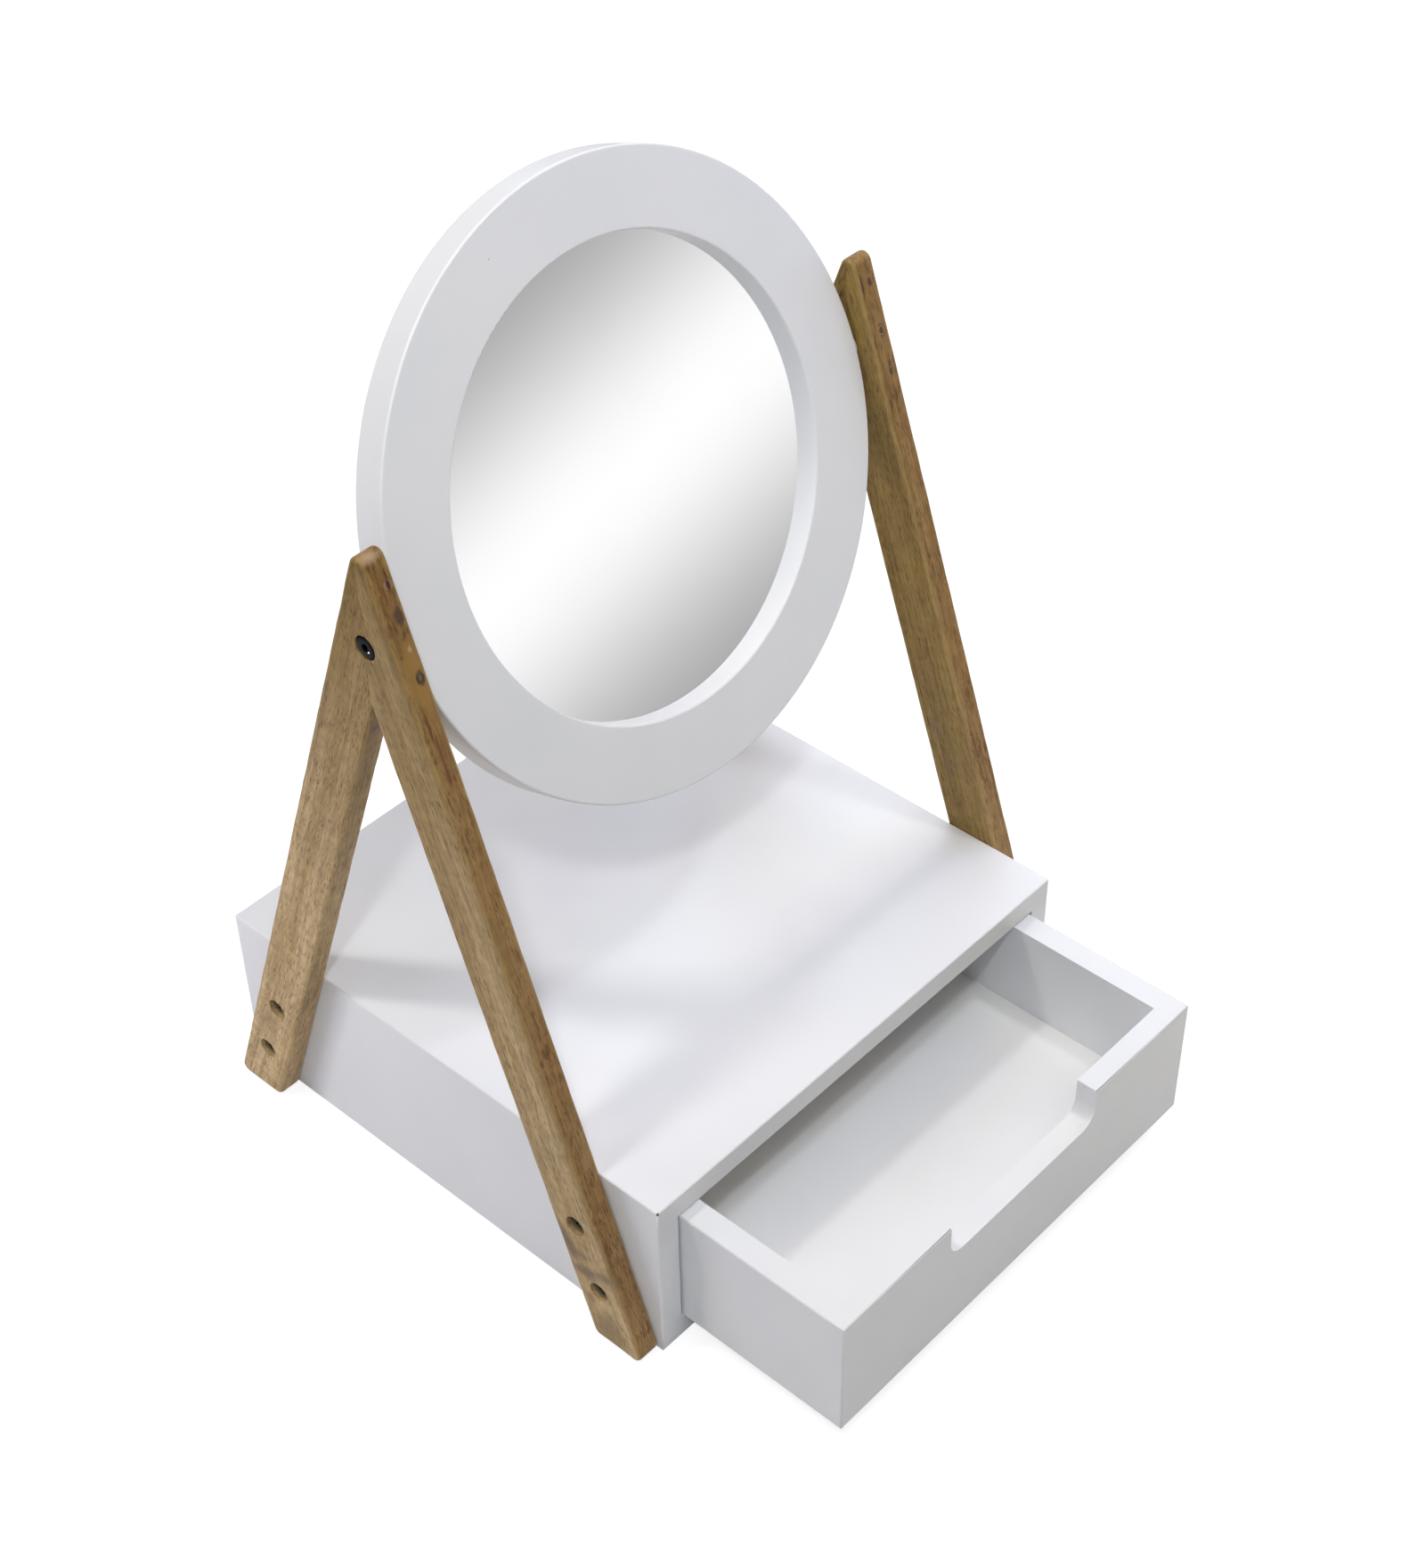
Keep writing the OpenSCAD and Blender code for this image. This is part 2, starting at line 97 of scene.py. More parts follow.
class Tree:
    """Adds nodes to one node tree and sets or links their inputs as they are made."""

    FAMILY = "ShaderNode"

    def __init__(self, tree: bpy.types.NodeTree) -> None:
        """Takes over a tree and empties it."""
        self.tree = tree
        tree.nodes.clear()

    def add(self, kind: str, inputs: dict | None = None, **settings: object) -> bpy.types.Node:
        """Makes a node.

        Args:
            kind: the node's type; the tree's own family is added where it is left out.
            inputs: values or output sockets by input name or index.
            settings: the node's own properties.

        Returns:
            The new node.
        """
        node = self.tree.nodes.new(kind if "Node" in kind else self.FAMILY + kind)
        for name, value in settings.items():
            setattr(node, name, value)
        for key, value in (inputs or {}).items():
            self.put(value, node.inputs[key])
        return node

    def get(self, kind: str, inputs: dict | None = None, **settings: object) -> Socket:
        """The first output of a new node."""
        return self.add(kind, inputs, **settings).outputs[0]

    def put(self, value: object, socket: Socket) -> None:
        """Gives an input its value.

        Args:
            value: the output socket to link, or the input's own value.
            socket: the input.
        """
        if isinstance(value, Socket):
            self.tree.links.new(value, socket)
        else:
            socket.default_value = (*value, 1.0) if socket.type == "RGBA" and len(value) == 3 else value

    def math(self, operation: str, *values: object, clamp: bool = False) -> Socket:
        """A Math node's result, of one to three values or sockets."""
        return self.get("ShaderNodeMath", dict(enumerate(values)), operation=operation, use_clamp=clamp)

    # The common operations under short names; line is a value times a slope, plus a start.
    times = partialmethod(math, "MULTIPLY")
    plus = partialmethod(math, "ADD")
    less = partialmethod(math, "SUBTRACT")
    line = partialmethod(math, "MULTIPLY_ADD")

    def vector(self, operation: str, a: object, b: object = (0.0, 0.0, 0.0), output: int = 0) -> Socket:
        """A Vector Math node's vector, or its value where output is 1."""
        return self.add("ShaderNodeVectorMath", {0: a, 1: b}, operation=operation).outputs[output]

    def ramp(self, value: Socket, low: object, high: object, to_low: float = 0.0, to_high: float = 1.0) -> Socket:
        """A smooth step of value from low to high, mapped to the range to_low to to_high."""
        inputs = {"Value": value, "From Min": low, "From Max": high, "To Min": to_low, "To Max": to_high}
        return self.get("MapRange", inputs, interpolation_type="SMOOTHSTEP")

    def mix(self, factor: object, a: object, b: object, blend: str = "MIX") -> Socket:
        """Two colours mixed by a factor."""
        return self.add("Mix", {0: factor, 6: a, 7: b}, data_type="RGBA", blend_type=blend).outputs[2]

    def noise(self, vector: Socket, scale: object, detail: float = 2.0, roughness: float = 0.5) -> Socket:
        """A noise texture.

        Args:
            vector: where it is read.
            scale: its scale, or three scales along the axes.
            detail: how many finer layers it has.
            roughness: how strong they are.

        Returns:
            A value from 0 to 1.
        """
        if isinstance(scale, tuple):
            vector, scale = self.vector("MULTIPLY", vector, scale), 1.0
        return self.get("TexNoise", {"Vector": vector, "Scale": scale, "Detail": detail, "Roughness": roughness})

    def dots(self, vector: Socket, scale: object, size: Pair, channel: int) -> tuple[Socket, Socket]:
        """Soft dots about a Voronoi texture's points.

        Args:
            vector: where the texture is read.
            scale: its scale.
            size: the distances from a point at which a dot starts and is full.
            channel: the colour channel that gives each dot its number.

        Returns:
            The dots' mask and each dot's own number from 0 to 1.
        """
        cells = self.add("TexVoronoi", {"Vector": vector, "Scale": scale}).outputs
        own = self.add("SeparateColor", {0: cells["Color"]}).outputs[channel]
        return self.ramp(cells["Distance"], *size), own

    def attribute(self, name: str, output: str = "Fac") -> Socket:
        """One of the piece's own attributes."""
        return self.add("Attribute", attribute_name=name).outputs[output]

    def group(self, shared: bpy.types.NodeTree, inputs: dict[str, object]) -> bpy.types.NodeOutputs:
        """Places a shared group and gives its outputs."""
        return self.add("Group", inputs, node_tree=shared).outputs


class Group(Tree):
    """A node group with named inputs and outputs."""

    KIND = "ShaderNodeTree"
    KINDS = {float: "Float", int: "Int", tuple: "Vector"}

    def __init__(self, name: str, inputs: dict[str, object], outputs: dict[str, str]) -> None:
        """Makes the group and its sockets.

        Args:
            name: the group's name.
            inputs: default values by name; a triple is a vector, or a colour where the name says colour, and a word
                is a kind of socket that has no default.
            outputs: kinds of socket by name.
        """
        super().__init__(bpy.data.node_groups.new(name, self.KIND))
        face = self.tree.interface
        for label, value in inputs.items():
            kind = "Color" if "colour" in label else self.KINDS.get(type(value), value)
            socket = face.new_socket(label, in_out="INPUT", socket_type=f"NodeSocket{kind}")
            if kind != value:
                socket.default_value = (*value, 1.0) if kind == "Color" else value
        for label, kind in outputs.items():
            face.new_socket(label, in_out="OUTPUT", socket_type=f"NodeSocket{kind}")
        self.given = self.add("NodeGroupInput").outputs
        self.result = self.add("NodeGroupOutput").inputs

    def give(self, values: dict[str, Socket]) -> bpy.types.NodeTree:
        """Links the results.

        Args:
            values: sockets by the names of the group's outputs.

        Returns:
            The group.
        """
        for label, value in values.items():
            self.put(value, self.result[label])
        return self.tree


@cache
def grain_group() -> bpy.types.NodeTree:
    """Wood figure along the vector's Y, for every timber and fibre board.

    Returns:
        A group with the outputs Colour, Pores, Height and Sheen.
    """
    colours = {"Pale colour": (0.5, 0.4, 0.2), "Mid colour": (0.4, 0.3, 0.15), "Dark colour": (0.2, 0.13, 0.06)}
    colours |= {"Pore colour": (0.1, 0.06, 0.03), "Fleck colour": (0.15, 0.07, 0.02)}
    amounts = {"Figure": 1.0, "Pore amount": 1.0, "Flecks": 0.0}
    outputs = {"Colour": "Color", "Pores": "Float", "Height": "Float", "Sheen": "Float"}
    g = Group("grain", {"Vector": (0.0, 0.0, 0.0), **colours, **amounts}, outputs)
    given = g.given
    sway = g.noise(given["Vector"], (14.0, 5.0, 14.0))
    path = g.vector("ADD", given["Vector"], g.get("CombineXYZ", {0: g.line(sway, 0.012, -0.006)}))
    bands = g.noise(path, (150.0, 5.0, 150.0), 4.0, 0.6)
    fibre = g.noise(path, (780.0, 80.0, 780.0), 4.0, 0.65)
    cloud = g.noise(path, (30.0, 12.0, 30.0), 3.0, 0.55)
    ripple = g.noise(path, (90.0, 210.0, 90.0))
    streak = g.noise(path, (520.0, 9.0, 520.0), 3.0, 0.6)

    tone = g.mix(g.ramp(bands, 0.36, 0.66), given["Mid colour"], given["Pale colour"])
    tone = g.mix(g.times(g.ramp(cloud, 0.5, 0.8), 0.24), tone, given["Dark colour"])
    dark = g.times(g.ramp(streak, 0.48, 0.72), 0.5)
    tone = g.mix(g.times(dark, given["Figure"]), tone, given["Dark colour"])
    light = g.times(g.line(fibre, 1.2, 0.46), g.line(ripple, 0.46, 0.80))
    tone = g.mix(1.0, tone, g.get("CombineColor", {0: light, 1: light, 2: light}), "MULTIPLY")

    where = g.noise(path, (60.0, 18.0, 60.0))
    pores: Socket | float = 0.0
    for scale, few, more in (((2100.0, 200.0, 2100.0), 0.4, 0.4), ((1500.0, 110.0, 1500.0), 0.15, 0.5)):
        dashes, own = g.dots(g.vector("MULTIPLY", path, scale), 1.0, (0.45, 0.18), 0)
        dense = g.line(g.ramp(where, 0.38, 0.62), more, few)
        pores = g.math("MAXIMUM", g.times(dashes, g.ramp(own, dense, 0.0)), pores)
    pores = g.times(pores, given["Pore amount"], clamp=True)
    ragged = g.noise(path, (420.0, 90.0, 420.0), 4.0, 0.65)
    flecks = g.times(g.ramp(ragged, 0.52, 0.6), g.ramp(g.noise(path, (45.0, 20.0, 45.0)), 0.42, 0.6))
    tone = g.mix(g.times(flecks, given["Flecks"]), tone, given["Fleck colour"])
    tone = g.mix(g.times(pores, 0.9), tone, given["Pore colour"])
    height = g.less(g.times(fibre, 0.4), pores)
    return g.give({"Colour": tone, "Pores": pores, "Height": height, "Sheen": g.line(cloud, 0.5, g.times(bands, 0.5))})


@cache
def mark_group() -> bpy.types.NodeTree:
    """One soft-edged mark at a place, such as a knot, stain, chip or speck.

    Returns:
        A group whose output Mask is 1 inside the mark.
    """
    inputs = {"Vector": (0.0, 0.0, 0.0), "Centre": (0.0, 0.0, 0.0), "Size": (0.01, 0.01, 0.01)}
    g = Group("mark", {**inputs, "Softness": 0.4, "Raggedness": 0.5}, {"Mask": "Float"})
    given = g.given
    away = g.vector("DIVIDE", g.vector("SUBTRACT", given["Vector"], given["Centre"]), given["Size"])
    rough = g.less(g.noise(away, 1.7, 3.0, 0.6), 0.5)
    reach = g.plus(g.vector("LENGTH", away, output=1), g.times(rough, given["Raggedness"]))
    return g.give({"Mask": g.ramp(reach, 1.0, g.less(1.0, given["Softness"]))})


@cache
def film_group() -> bpy.types.NodeTree:
    """The skin of a sprayed or rolled coat, for paint, lining and blackened metal.

    Returns:
        A group with the outputs Height, Specks and Cloud.
    """
    inputs = {"Vector": (0.0, 0.0, 0.0), "Dimple": 900.0, "Speck": 70.0, "Speck amount": 0.1}
    g = Group("film", inputs, {"Height": "Float", "Specks": "Float", "Cloud": "Float"})
    at, dimple = g.given["Vector"], g.given["Dimple"]
    dimples = g.noise(at, dimple, 2.0, 0.45)
    sag = g.noise(at, g.times(dimple, 0.12))
    near, own = g.dots(at, g.given["Speck"], (0.035, 0.015), 1)
    specks = g.times(near, g.math("LESS_THAN", own, g.given["Speck amount"]))
    return g.give({"Height": g.plus(g.times(dimples, 0.5), sag), "Specks": specks, "Cloud": g.noise(at, 9.0, 3.0, 0.6)})


@cache
def handling_group() -> bpy.types.NodeTree:
    """Finger marks, dust and fine scuffs, for every finish.

    Returns:
        A group with the outputs Smudge and Scratches.
    """
    inputs = {"Vector": (0.0, 0.0, 0.0), "Smudge size": 30.0, "Scratch size": 240.0}
    g = Group("handling", inputs, {"Smudge": "Float", "Scratches": "Float"})
    at = g.given["Vector"]
    smudge = g.ramp(g.noise(at, g.given["Smudge size"], 4.0, 0.6), 0.45, 0.75)
    askew = g.get("Mapping", {"Vector": at, "Rotation": (0.4, 0.3, 0.7), "Scale": (1.0, 0.04, 1.0)})
    lines = g.noise(askew, g.given["Scratch size"], 3.0, 0.7)
    return g.give({"Smudge": smudge, "Scratches": g.ramp(lines, 0.66, 0.72)})


# Finishes


def blank(name: str) -> tuple[Material, Tree, Socket]:
    """An empty node material.

    Args:
        name: the material's name.

    Returns:
        The material, its tree and the object's own coordinates.
    """
    made = bpy.data.materials.new(name)
    made.use_nodes = True
    tree = Tree(made.node_tree)
    return made, tree, tree.add("TexCoord").outputs["Object"]


def principled(tree: Tree, inputs: dict[str, object], height: Socket, relief: float) -> None:
    """Ends a material in its Principled BSDF.

    Args:
        tree: the material's tree.
        inputs: the shader's inputs by name.
        height: what feeds the bump.
        relief: the bump's distance in millimetres, or 0 for none.
    """
    shader = tree.add("BsdfPrincipled", inputs)
    if relief:
        bump = tree.get("Bump", {"Height": height, "Strength": 1.0, "Distance": relief * MM})
        tree.put(bump, shader.inputs["Normal"])
    tree.add("OutputMaterial", {0: shader.outputs[0]})


@dataclass(frozen=True)
class Mark:
    """A knot, patch, chip or speck at one place of a finish.

    The place is a point of the part in millimetres, and the size is the half-width along each axis of the vector that
    the finish reads.
    """

    place: Point
    size: Point
    colour: Colour
    strength: float = 1.0
    softness: float = 0.5
    raggedness: float = 0.6

    def over(self, tree: Tree, at: Socket, tone: Socket, centre: Point | None = None) -> Socket:
        """Lays the mark over a colour.

        Args:
            tree: the material's tree.
            at: the vector that the mark is placed in.
            tone: the colour under it.
            centre: its centre in that vector's own space in metres, where that isn't the part's.

        Returns:
            The marked colour.
        """
        inputs = {"Vector": at, "Centre": centre or scaled(self.place), "Size": scaled(self.size)}
        inputs |= {"Softness": self.softness, "Raggedness": self.raggedness}
        mask = tree.group(mark_group(), inputs)["Mask"]
        return tree.mix(tree.times(mask, self.strength), tone, self.colour)


def scaled(values: Sequence[float]) -> tuple[float, ...]:
    """Millimetres as metres."""
    return tuple(v * MM for v in values)


@dataclass(frozen=True)
class Coat:
    """A finish with one skin: two colours that drift, specks, finger marks, scratches, marks and a fine relief."""

    colour: Colour
    shade: Colour
    roughness: float
    relief: float = 0.0
    metallic: float = 0.0
    ior: float = 1.5
    marks_on_it: tuple[Mark, ...] = ()
    smudge_share: float = 0.0
    drift: Pair | None = None
    speck: Colour = (0.32, 0.29, 0.25)
    speck_amount: float = 0.0
    dimple: float = 620.0
    smudge_size: float = 24.0
    scratch_size: float = 240.0
    smudge_rough: float = 0.0
    scratch_rough: float = 0.0
    cloud_rough: float = 0.0
    glow: float = 0.0

    def material(self, name: str) -> Material:
        """The finish as a material.

        Args:
            name: the material's name.

        Returns:
            The material.
        """
        made, tree, at = blank(name)
        film = tree.group(film_group(), {"Vector": at, "Dimple": self.dimple, "Speck amount": self.speck_amount})
        sizes = {"Smudge size": self.smudge_size, "Scratch size": self.scratch_size}
        hands = tree.group(handling_group(), {"Vector": at, **sizes})
        share = tree.times(hands["Smudge"], self.smudge_share) if self.smudge_share else film["Cloud"]
        tone = tree.mix(tree.ramp(share, *self.drift) if self.drift else share, self.colour, self.shade)
        tone = tree.mix(tree.times(film["Specks"], 0.8), tone, self.speck)
        for mark in self.marks_on_it:
            tone = mark.over(tree, at, tone)
        rough = tree.line(hands["Smudge"], self.smudge_rough, self.roughness)
        rough = tree.line(film["Cloud"], self.cloud_rough, rough)
        rough = tree.line(hands["Scratches"], self.scratch_rough, rough)
        inputs = {"Base Color": tone, "Metallic": self.metallic, "Roughness": rough, "IOR": self.ior}
        inputs |= {"Subsurface Weight": self.glow, "Subsurface Scale": 0.002}
        principled(tree, inputs, film["Height"], self.relief)
        return made


@dataclass(frozen=True)
class Paint(Coat):
    """Sprayed satin lacquer on board."""

    colour: Colour = (0.80, 0.80, 0.81)
    shade: Colour = (0.765, 0.77, 0.785)
    roughness: float = 0.36
    relief: float = 0.012
    drift: Pair | None = (0.35, 0.7)
    speck_amount: float = 0.06
    smudge_rough: float = 0.08
    cloud_rough: float = 0.04


@dataclass(frozen=True)
class Metal(Coat):
    """Turned, plated or blackened metal."""

    roughness: float = 0.3
    relief: float = 0.006
    metallic: float = 1.0
    smudge_share: float = 1.0
    dimple: float = 2600.0
    smudge_size: float = 400.0
    scratch_size: float = 1900.0
    smudge_rough: float = 0.12
    scratch_rough: float = 0.15


@dataclass(frozen=True)
class Silvering(Coat):
    """Mirror glass, seen as its silver."""

    colour: Colour = (0.935, 0.935, 0.945)
    shade: Colour = (0.86, 0.87, 0.87)
    roughness: float = 0.006
    metallic: float = 1.0
    smudge_share: float = 0.12
    smudge_size: float = 22.0
    scratch_size: float = 500.0
    smudge_rough: float = 0.006
    scratch_rough: float = 0.01


@dataclass(frozen=True)
class Polymer(Coat):
    """Moulded natural nylon."""

    colour: Colour = (0.72, 0.71, 0.66)
    shade: Colour = (0.60, 0.59, 0.53)
    roughness: float = 0.42
    relief: float = 0.01
    dimple: float = 1500.0
    smudge_size: float = 180.0
    smudge_rough: float = 0.15
    glow: float = 0.15


@dataclass(frozen=True)
class Timber:
    """Oiled timber with a fine open grain along each bar."""

    pale: Colour = (0.455, 0.330, 0.145)
    mid: Colour = (0.36, 0.245, 0.092)
    dark: Colour = (0.185, 0.112, 0.042)
    pore: Colour = (0.090, 0.043, 0.010)
    fleck: Colour = (0.145, 0.066, 0.022)
    # The narrow faces are multiplied by the edge tint: partly their own tone, partly painted shade. The next two tints
    # are the ends of a per-leg tint by height and face: partly the timber's own tone, partly painted shade on the
    # narrow faces and on the right legs.
    edge_tint_and_shade: Colour = (0.80, 0.68, 0.60)
    pale_tint: Colour = (1.22, 1.23, 1.50)
    warm_shaded_tint: Colour = (0.56, 0.49, 0.26)
    roughness: float = 0.52
    relief: float = 0.09
    ior: float = 1.3
    marks_on_it: tuple[Mark, ...] = ()
    places: tuple[Point, ...] = ()

    def material(self, name: str) -> Material:
        """The timber as a material reading grain, edge_grain, arris and a per-leg tint that partly paints shade.

        Args:
            name: the material's name.

        Returns:
            The material.
        """
        made, tree, _ = blank(name)
        at, edge = tree.attribute("grain", "Vector"), tree.attribute("edge_grain")
        inputs = {"Vector": at, "Pale colour": self.pale, "Mid colour": self.mid, "Dark colour": self.dark}
        inputs |= {"Pore colour": self.pore, "Fleck colour": self.fleck, "Flecks": tree.line(edge, 0.5, 0.12)}
        wood = tree.group(grain_group(), inputs)
        hands = tree.group(handling_group(), {"Vector": at, "Smudge size": 40.0})
        # Partly painted shade: the narrow faces take the darker edge tint, and the per-leg tint darkens the narrow
        # faces and the right legs.
        edge_tone_and_shade = tree.mix(1.0, wood["Colour"], self.edge_tint_and_shade, "MULTIPLY")
        tint = tree.mix(tree.attribute("warmth"), self.pale_tint, self.warm_shaded_tint)
        tone = tree.mix(1.0, tree.mix(edge, wood["Colour"], edge_tone_and_shade), tint, "MULTIPLY")
        for mark, place in zip(self.marks_on_it, self.places):
            tone = mark.over(tree, at, tone, place)
        # Painted highlight: a band along the rounded arrises is lightened towards the pale colour, where the edge
        # catches the light.
        arris_highlight = tree.mix(0.5, tone, self.pale)
        tone = tree.mix(tree.times(tree.attribute("arris"), 0.6), tone, arris_highlight)
        rough = tree.line(wood["Sheen"], -0.12, self.roughness)
        rough = tree.line(hands["Smudge"], 0.08, rough)
        rough = tree.line(wood["Pores"], 0.2, rough, clamp=True)
        principled(tree, {"Base Color": tone, "Roughness": rough, "IOR": self.ior}, wood["Height"], self.relief)
        return made


@dataclass(frozen=True)
class FibreBoard:
    """Hard-pressed brown fibre board."""

    pale: Colour = (0.235, 0.140, 0.070)
    dark: Colour = (0.120, 0.066, 0.032)
    roughness: float = 0.5
    relief: float = 0.03

    def material(self, name: str) -> Material:
        """The fibre board as a material.

        Args:
            name: the material's name.

        Returns:
            The material.
        """
        made, tree, at = blank(name)
        hairs = tree.get("Mapping", {"Vector": at, "Rotation": (0.0, 0.6, 0.0), "Scale": (1.0, 3.0, 3.0)})
        inputs = {"Pale colour": self.pale, "Mid colour": self.pale, "Dark colour": self.dark, "Pore colour": self.dark}
        fibre = tree.group(grain_group(), {"Vector": hairs, "Pore amount": 0.5, **inputs})
        hands = tree.group(handling_group(), {"Vector": at, "Smudge size": 60.0})
        rough = tree.line(hands["Smudge"], 0.15, self.roughness)
        principled(tree, {"Base Color": fibre["Colour"], "Roughness": rough}, fibre["Height"], self.relief)
        return made


# Meshes and pieces


def linked(name: str, data: bpy.types.ID) -> bpy.types.Object:
    """Puts data into the scene.

    Args:
        name: the object's name.
        data: its mesh, lamp or camera.

    Returns:
        The new object.
    """
    made = bpy.data.objects.new(name, data)
    bpy.context.scene.collection.objects.link(made)
    return made


def settle(
    node: str, made: str, mesh: Mesh, body: Body, slot: str, finish: Material | None = None
) -> bpy.types.Object:
    """Makes a finished mesh a piece of the part, in place of its node where there is one.

    Args:
        node: the node that it stands for, or the start of its own name.
        made: the end of its name.
        mesh: its mesh, in metres and in place.
        body: the body it rides on.
        slot: the name of its material slot, which is only logged.
        finish: its material, where the mesh hasn't one yet.

    Returns:
        The piece.
    """
    mesh.name = name = f"{node}_{made}"
    if finish:
        mesh.materials.clear()
        mesh.materials.append(finish)
    piece = linked(name, mesh)
    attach(piece, body.value)
    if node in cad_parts:
        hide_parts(node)
    LOG.info("%s: %d faces on %s, %s", name, len(mesh.polygons), body.value, slot)
    return piece


def baked(obj: bpy.types.Object) -> Mesh:
    """Turns a helper object with its modifiers into a plain mesh.

    Args:
        obj: the helper, which is removed.

    Returns:
        The evaluated mesh.
    """
    graph = bpy.context.evaluated_depsgraph_get()
    graph.update()
    mesh = bpy.data.meshes.new_from_object(obj.evaluated_get(graph), preserve_all_data_layers=True, depsgraph=graph)
    obj.modifiers.clear()
    bpy.data.objects.remove(obj)
    return mesh


def smoothed(mesh: Mesh, angle: float = 32.0) -> Mesh:
    """Shades a mesh smooth across blends and sharp across corners, weighted by face area.

    Args:
        mesh: the mesh.
        angle: edges that turn by more than this many degrees stay sharp.

    Returns:
        The shaded mesh.
    """
    mesh.shade_smooth()
    mesh.set_sharp_from_angle(angle=math.radians(angle))
    helper = linked("helper", mesh)
    weigh = helper.modifiers.new("weigh", "WEIGHTED_NORMAL")
    weigh.keep_sharp = True
    weigh.weight = 80
    return baked(helper)


def stored(mesh: Mesh, name: str, values: Sequence[float]) -> None:
    """Stores one number, or three in a row, for each point of a mesh.

    Args:
        mesh: the mesh.
        name: the attribute's name.
        values: the numbers, in the order of the points.
    """
    vector = len(values) == 3 * len(mesh.vertices)
    kept = mesh.attributes.new(name, "FLOAT_VECTOR" if vector else "FLOAT", "POINT")
    kept.data.foreach_set("vector" if vector else "value", values)


def as_mesh(bm: bmesh.types.BMesh, mesh: Mesh | None = None, outward: bool = True) -> Mesh:
    """Ends a bmesh as a mesh.

    Args:
        bm: the bmesh, which is freed.
        mesh: the mesh that takes it, or none for a new one.
        outward: whether its faces are first turned outwards.

    Returns:
        The mesh.
    """
    if outward:
        bmesh.ops.recalc_face_normals(bm, faces=bm.faces)
    mesh = mesh or bpy.data.meshes.new("part")
    bm.to_mesh(mesh)
    bm.free()
    return mesh


def merged_copy(node: str) -> Mesh:
    """A closed, smooth-shaded copy of a node whose shape is right.

    Args:
        node: the node's name.

    Returns:
        The copy.
    """
    bm = bmesh.new()
    bm.from_mesh(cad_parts[node].data)
    bmesh.ops.remove_doubles(bm, verts=bm.verts, dist=2e-6)
    bmesh.ops.dissolve_limit(bm, angle_limit=math.radians(0.4), verts=bm.verts, edges=bm.edges)
    return smoothed(as_mesh(bm, outward=False))


def loft(rings: Iterable[Sequence[Vector]], capped: bool = False) -> Mesh:
    """A closed body through rings of points.

    Args:
        rings: the rings' points in millimetres; a ring of one point is a pole.
        capped: whether the first and last rings are filled.

    Returns:
        The mesh in metres.
    """
    bm = bmesh.new()
    loops = [[bm.verts.new(p * MM) for p in ring] for ring in rings]
    count = max(map(len, loops))
    for low, high in zip(loops, loops[1:]):
        for i in range(count):
            j = (i + 1) % count
            corners = [low[i % len(low)], low[j % len(low)], high[j % len(high)], high[i % len(high)]]
            if len(unique := list(dict.fromkeys(corners))) > 2:
                bm.faces.new(unique)
    if capped:
        bm.faces.new(loops[0])
        bm.faces.new(loops[-1][::-1])
    return as_mesh(bm)


def turned(profile: Sequence[Pair], centre: Point, along: Vector, steps: int = 48) -> Mesh:
    """A closed body of revolution.

    Args:
        profile: distances from the axis and along it, in millimetres; the ends on the axis may be left out.
        centre: where the axis starts, in millimetres.
        along: the axis.
        steps: how many faces go round.

    Returns:
        The mesh in metres.
    """
    turn = along.to_track_quat("Z", "Y").to_matrix()
    rings = []
    for r, z in [(0.0, profile[0][1]), *profile, (0.0, profile[-1][1])]:
        turns = [math.tau * i / steps for i in range(steps if r > 0 else 1)]
        rings.append([Vector(centre) + turn @ Vector((r * math.cos(a), r * math.sin(a), z)) for a in turns])
    return loft(rings)


def cut(mesh: Mesh, cutters: Iterable[Mesh]) -> Mesh:
    """A mesh with other closed meshes cut out of it.

    Args:
        mesh: the mesh to cut.
        cutters: what is taken away.

    Returns:
        The cut mesh.
    """
    bm = bmesh.new()
    for cutter in cutters:
        bm.from_mesh(cutter)
    helper, knife = linked("helper", mesh), linked("knife", as_mesh(bm, outward=False))
    away = helper.modifiers.new("cut", "BOOLEAN")
    away.operation, away.solver, away.use_self, away.object = "DIFFERENCE", "EXACT", True, knife
    result = baked(helper)
    bpy.data.objects.remove(knife)
    return result


# Geometry node trees


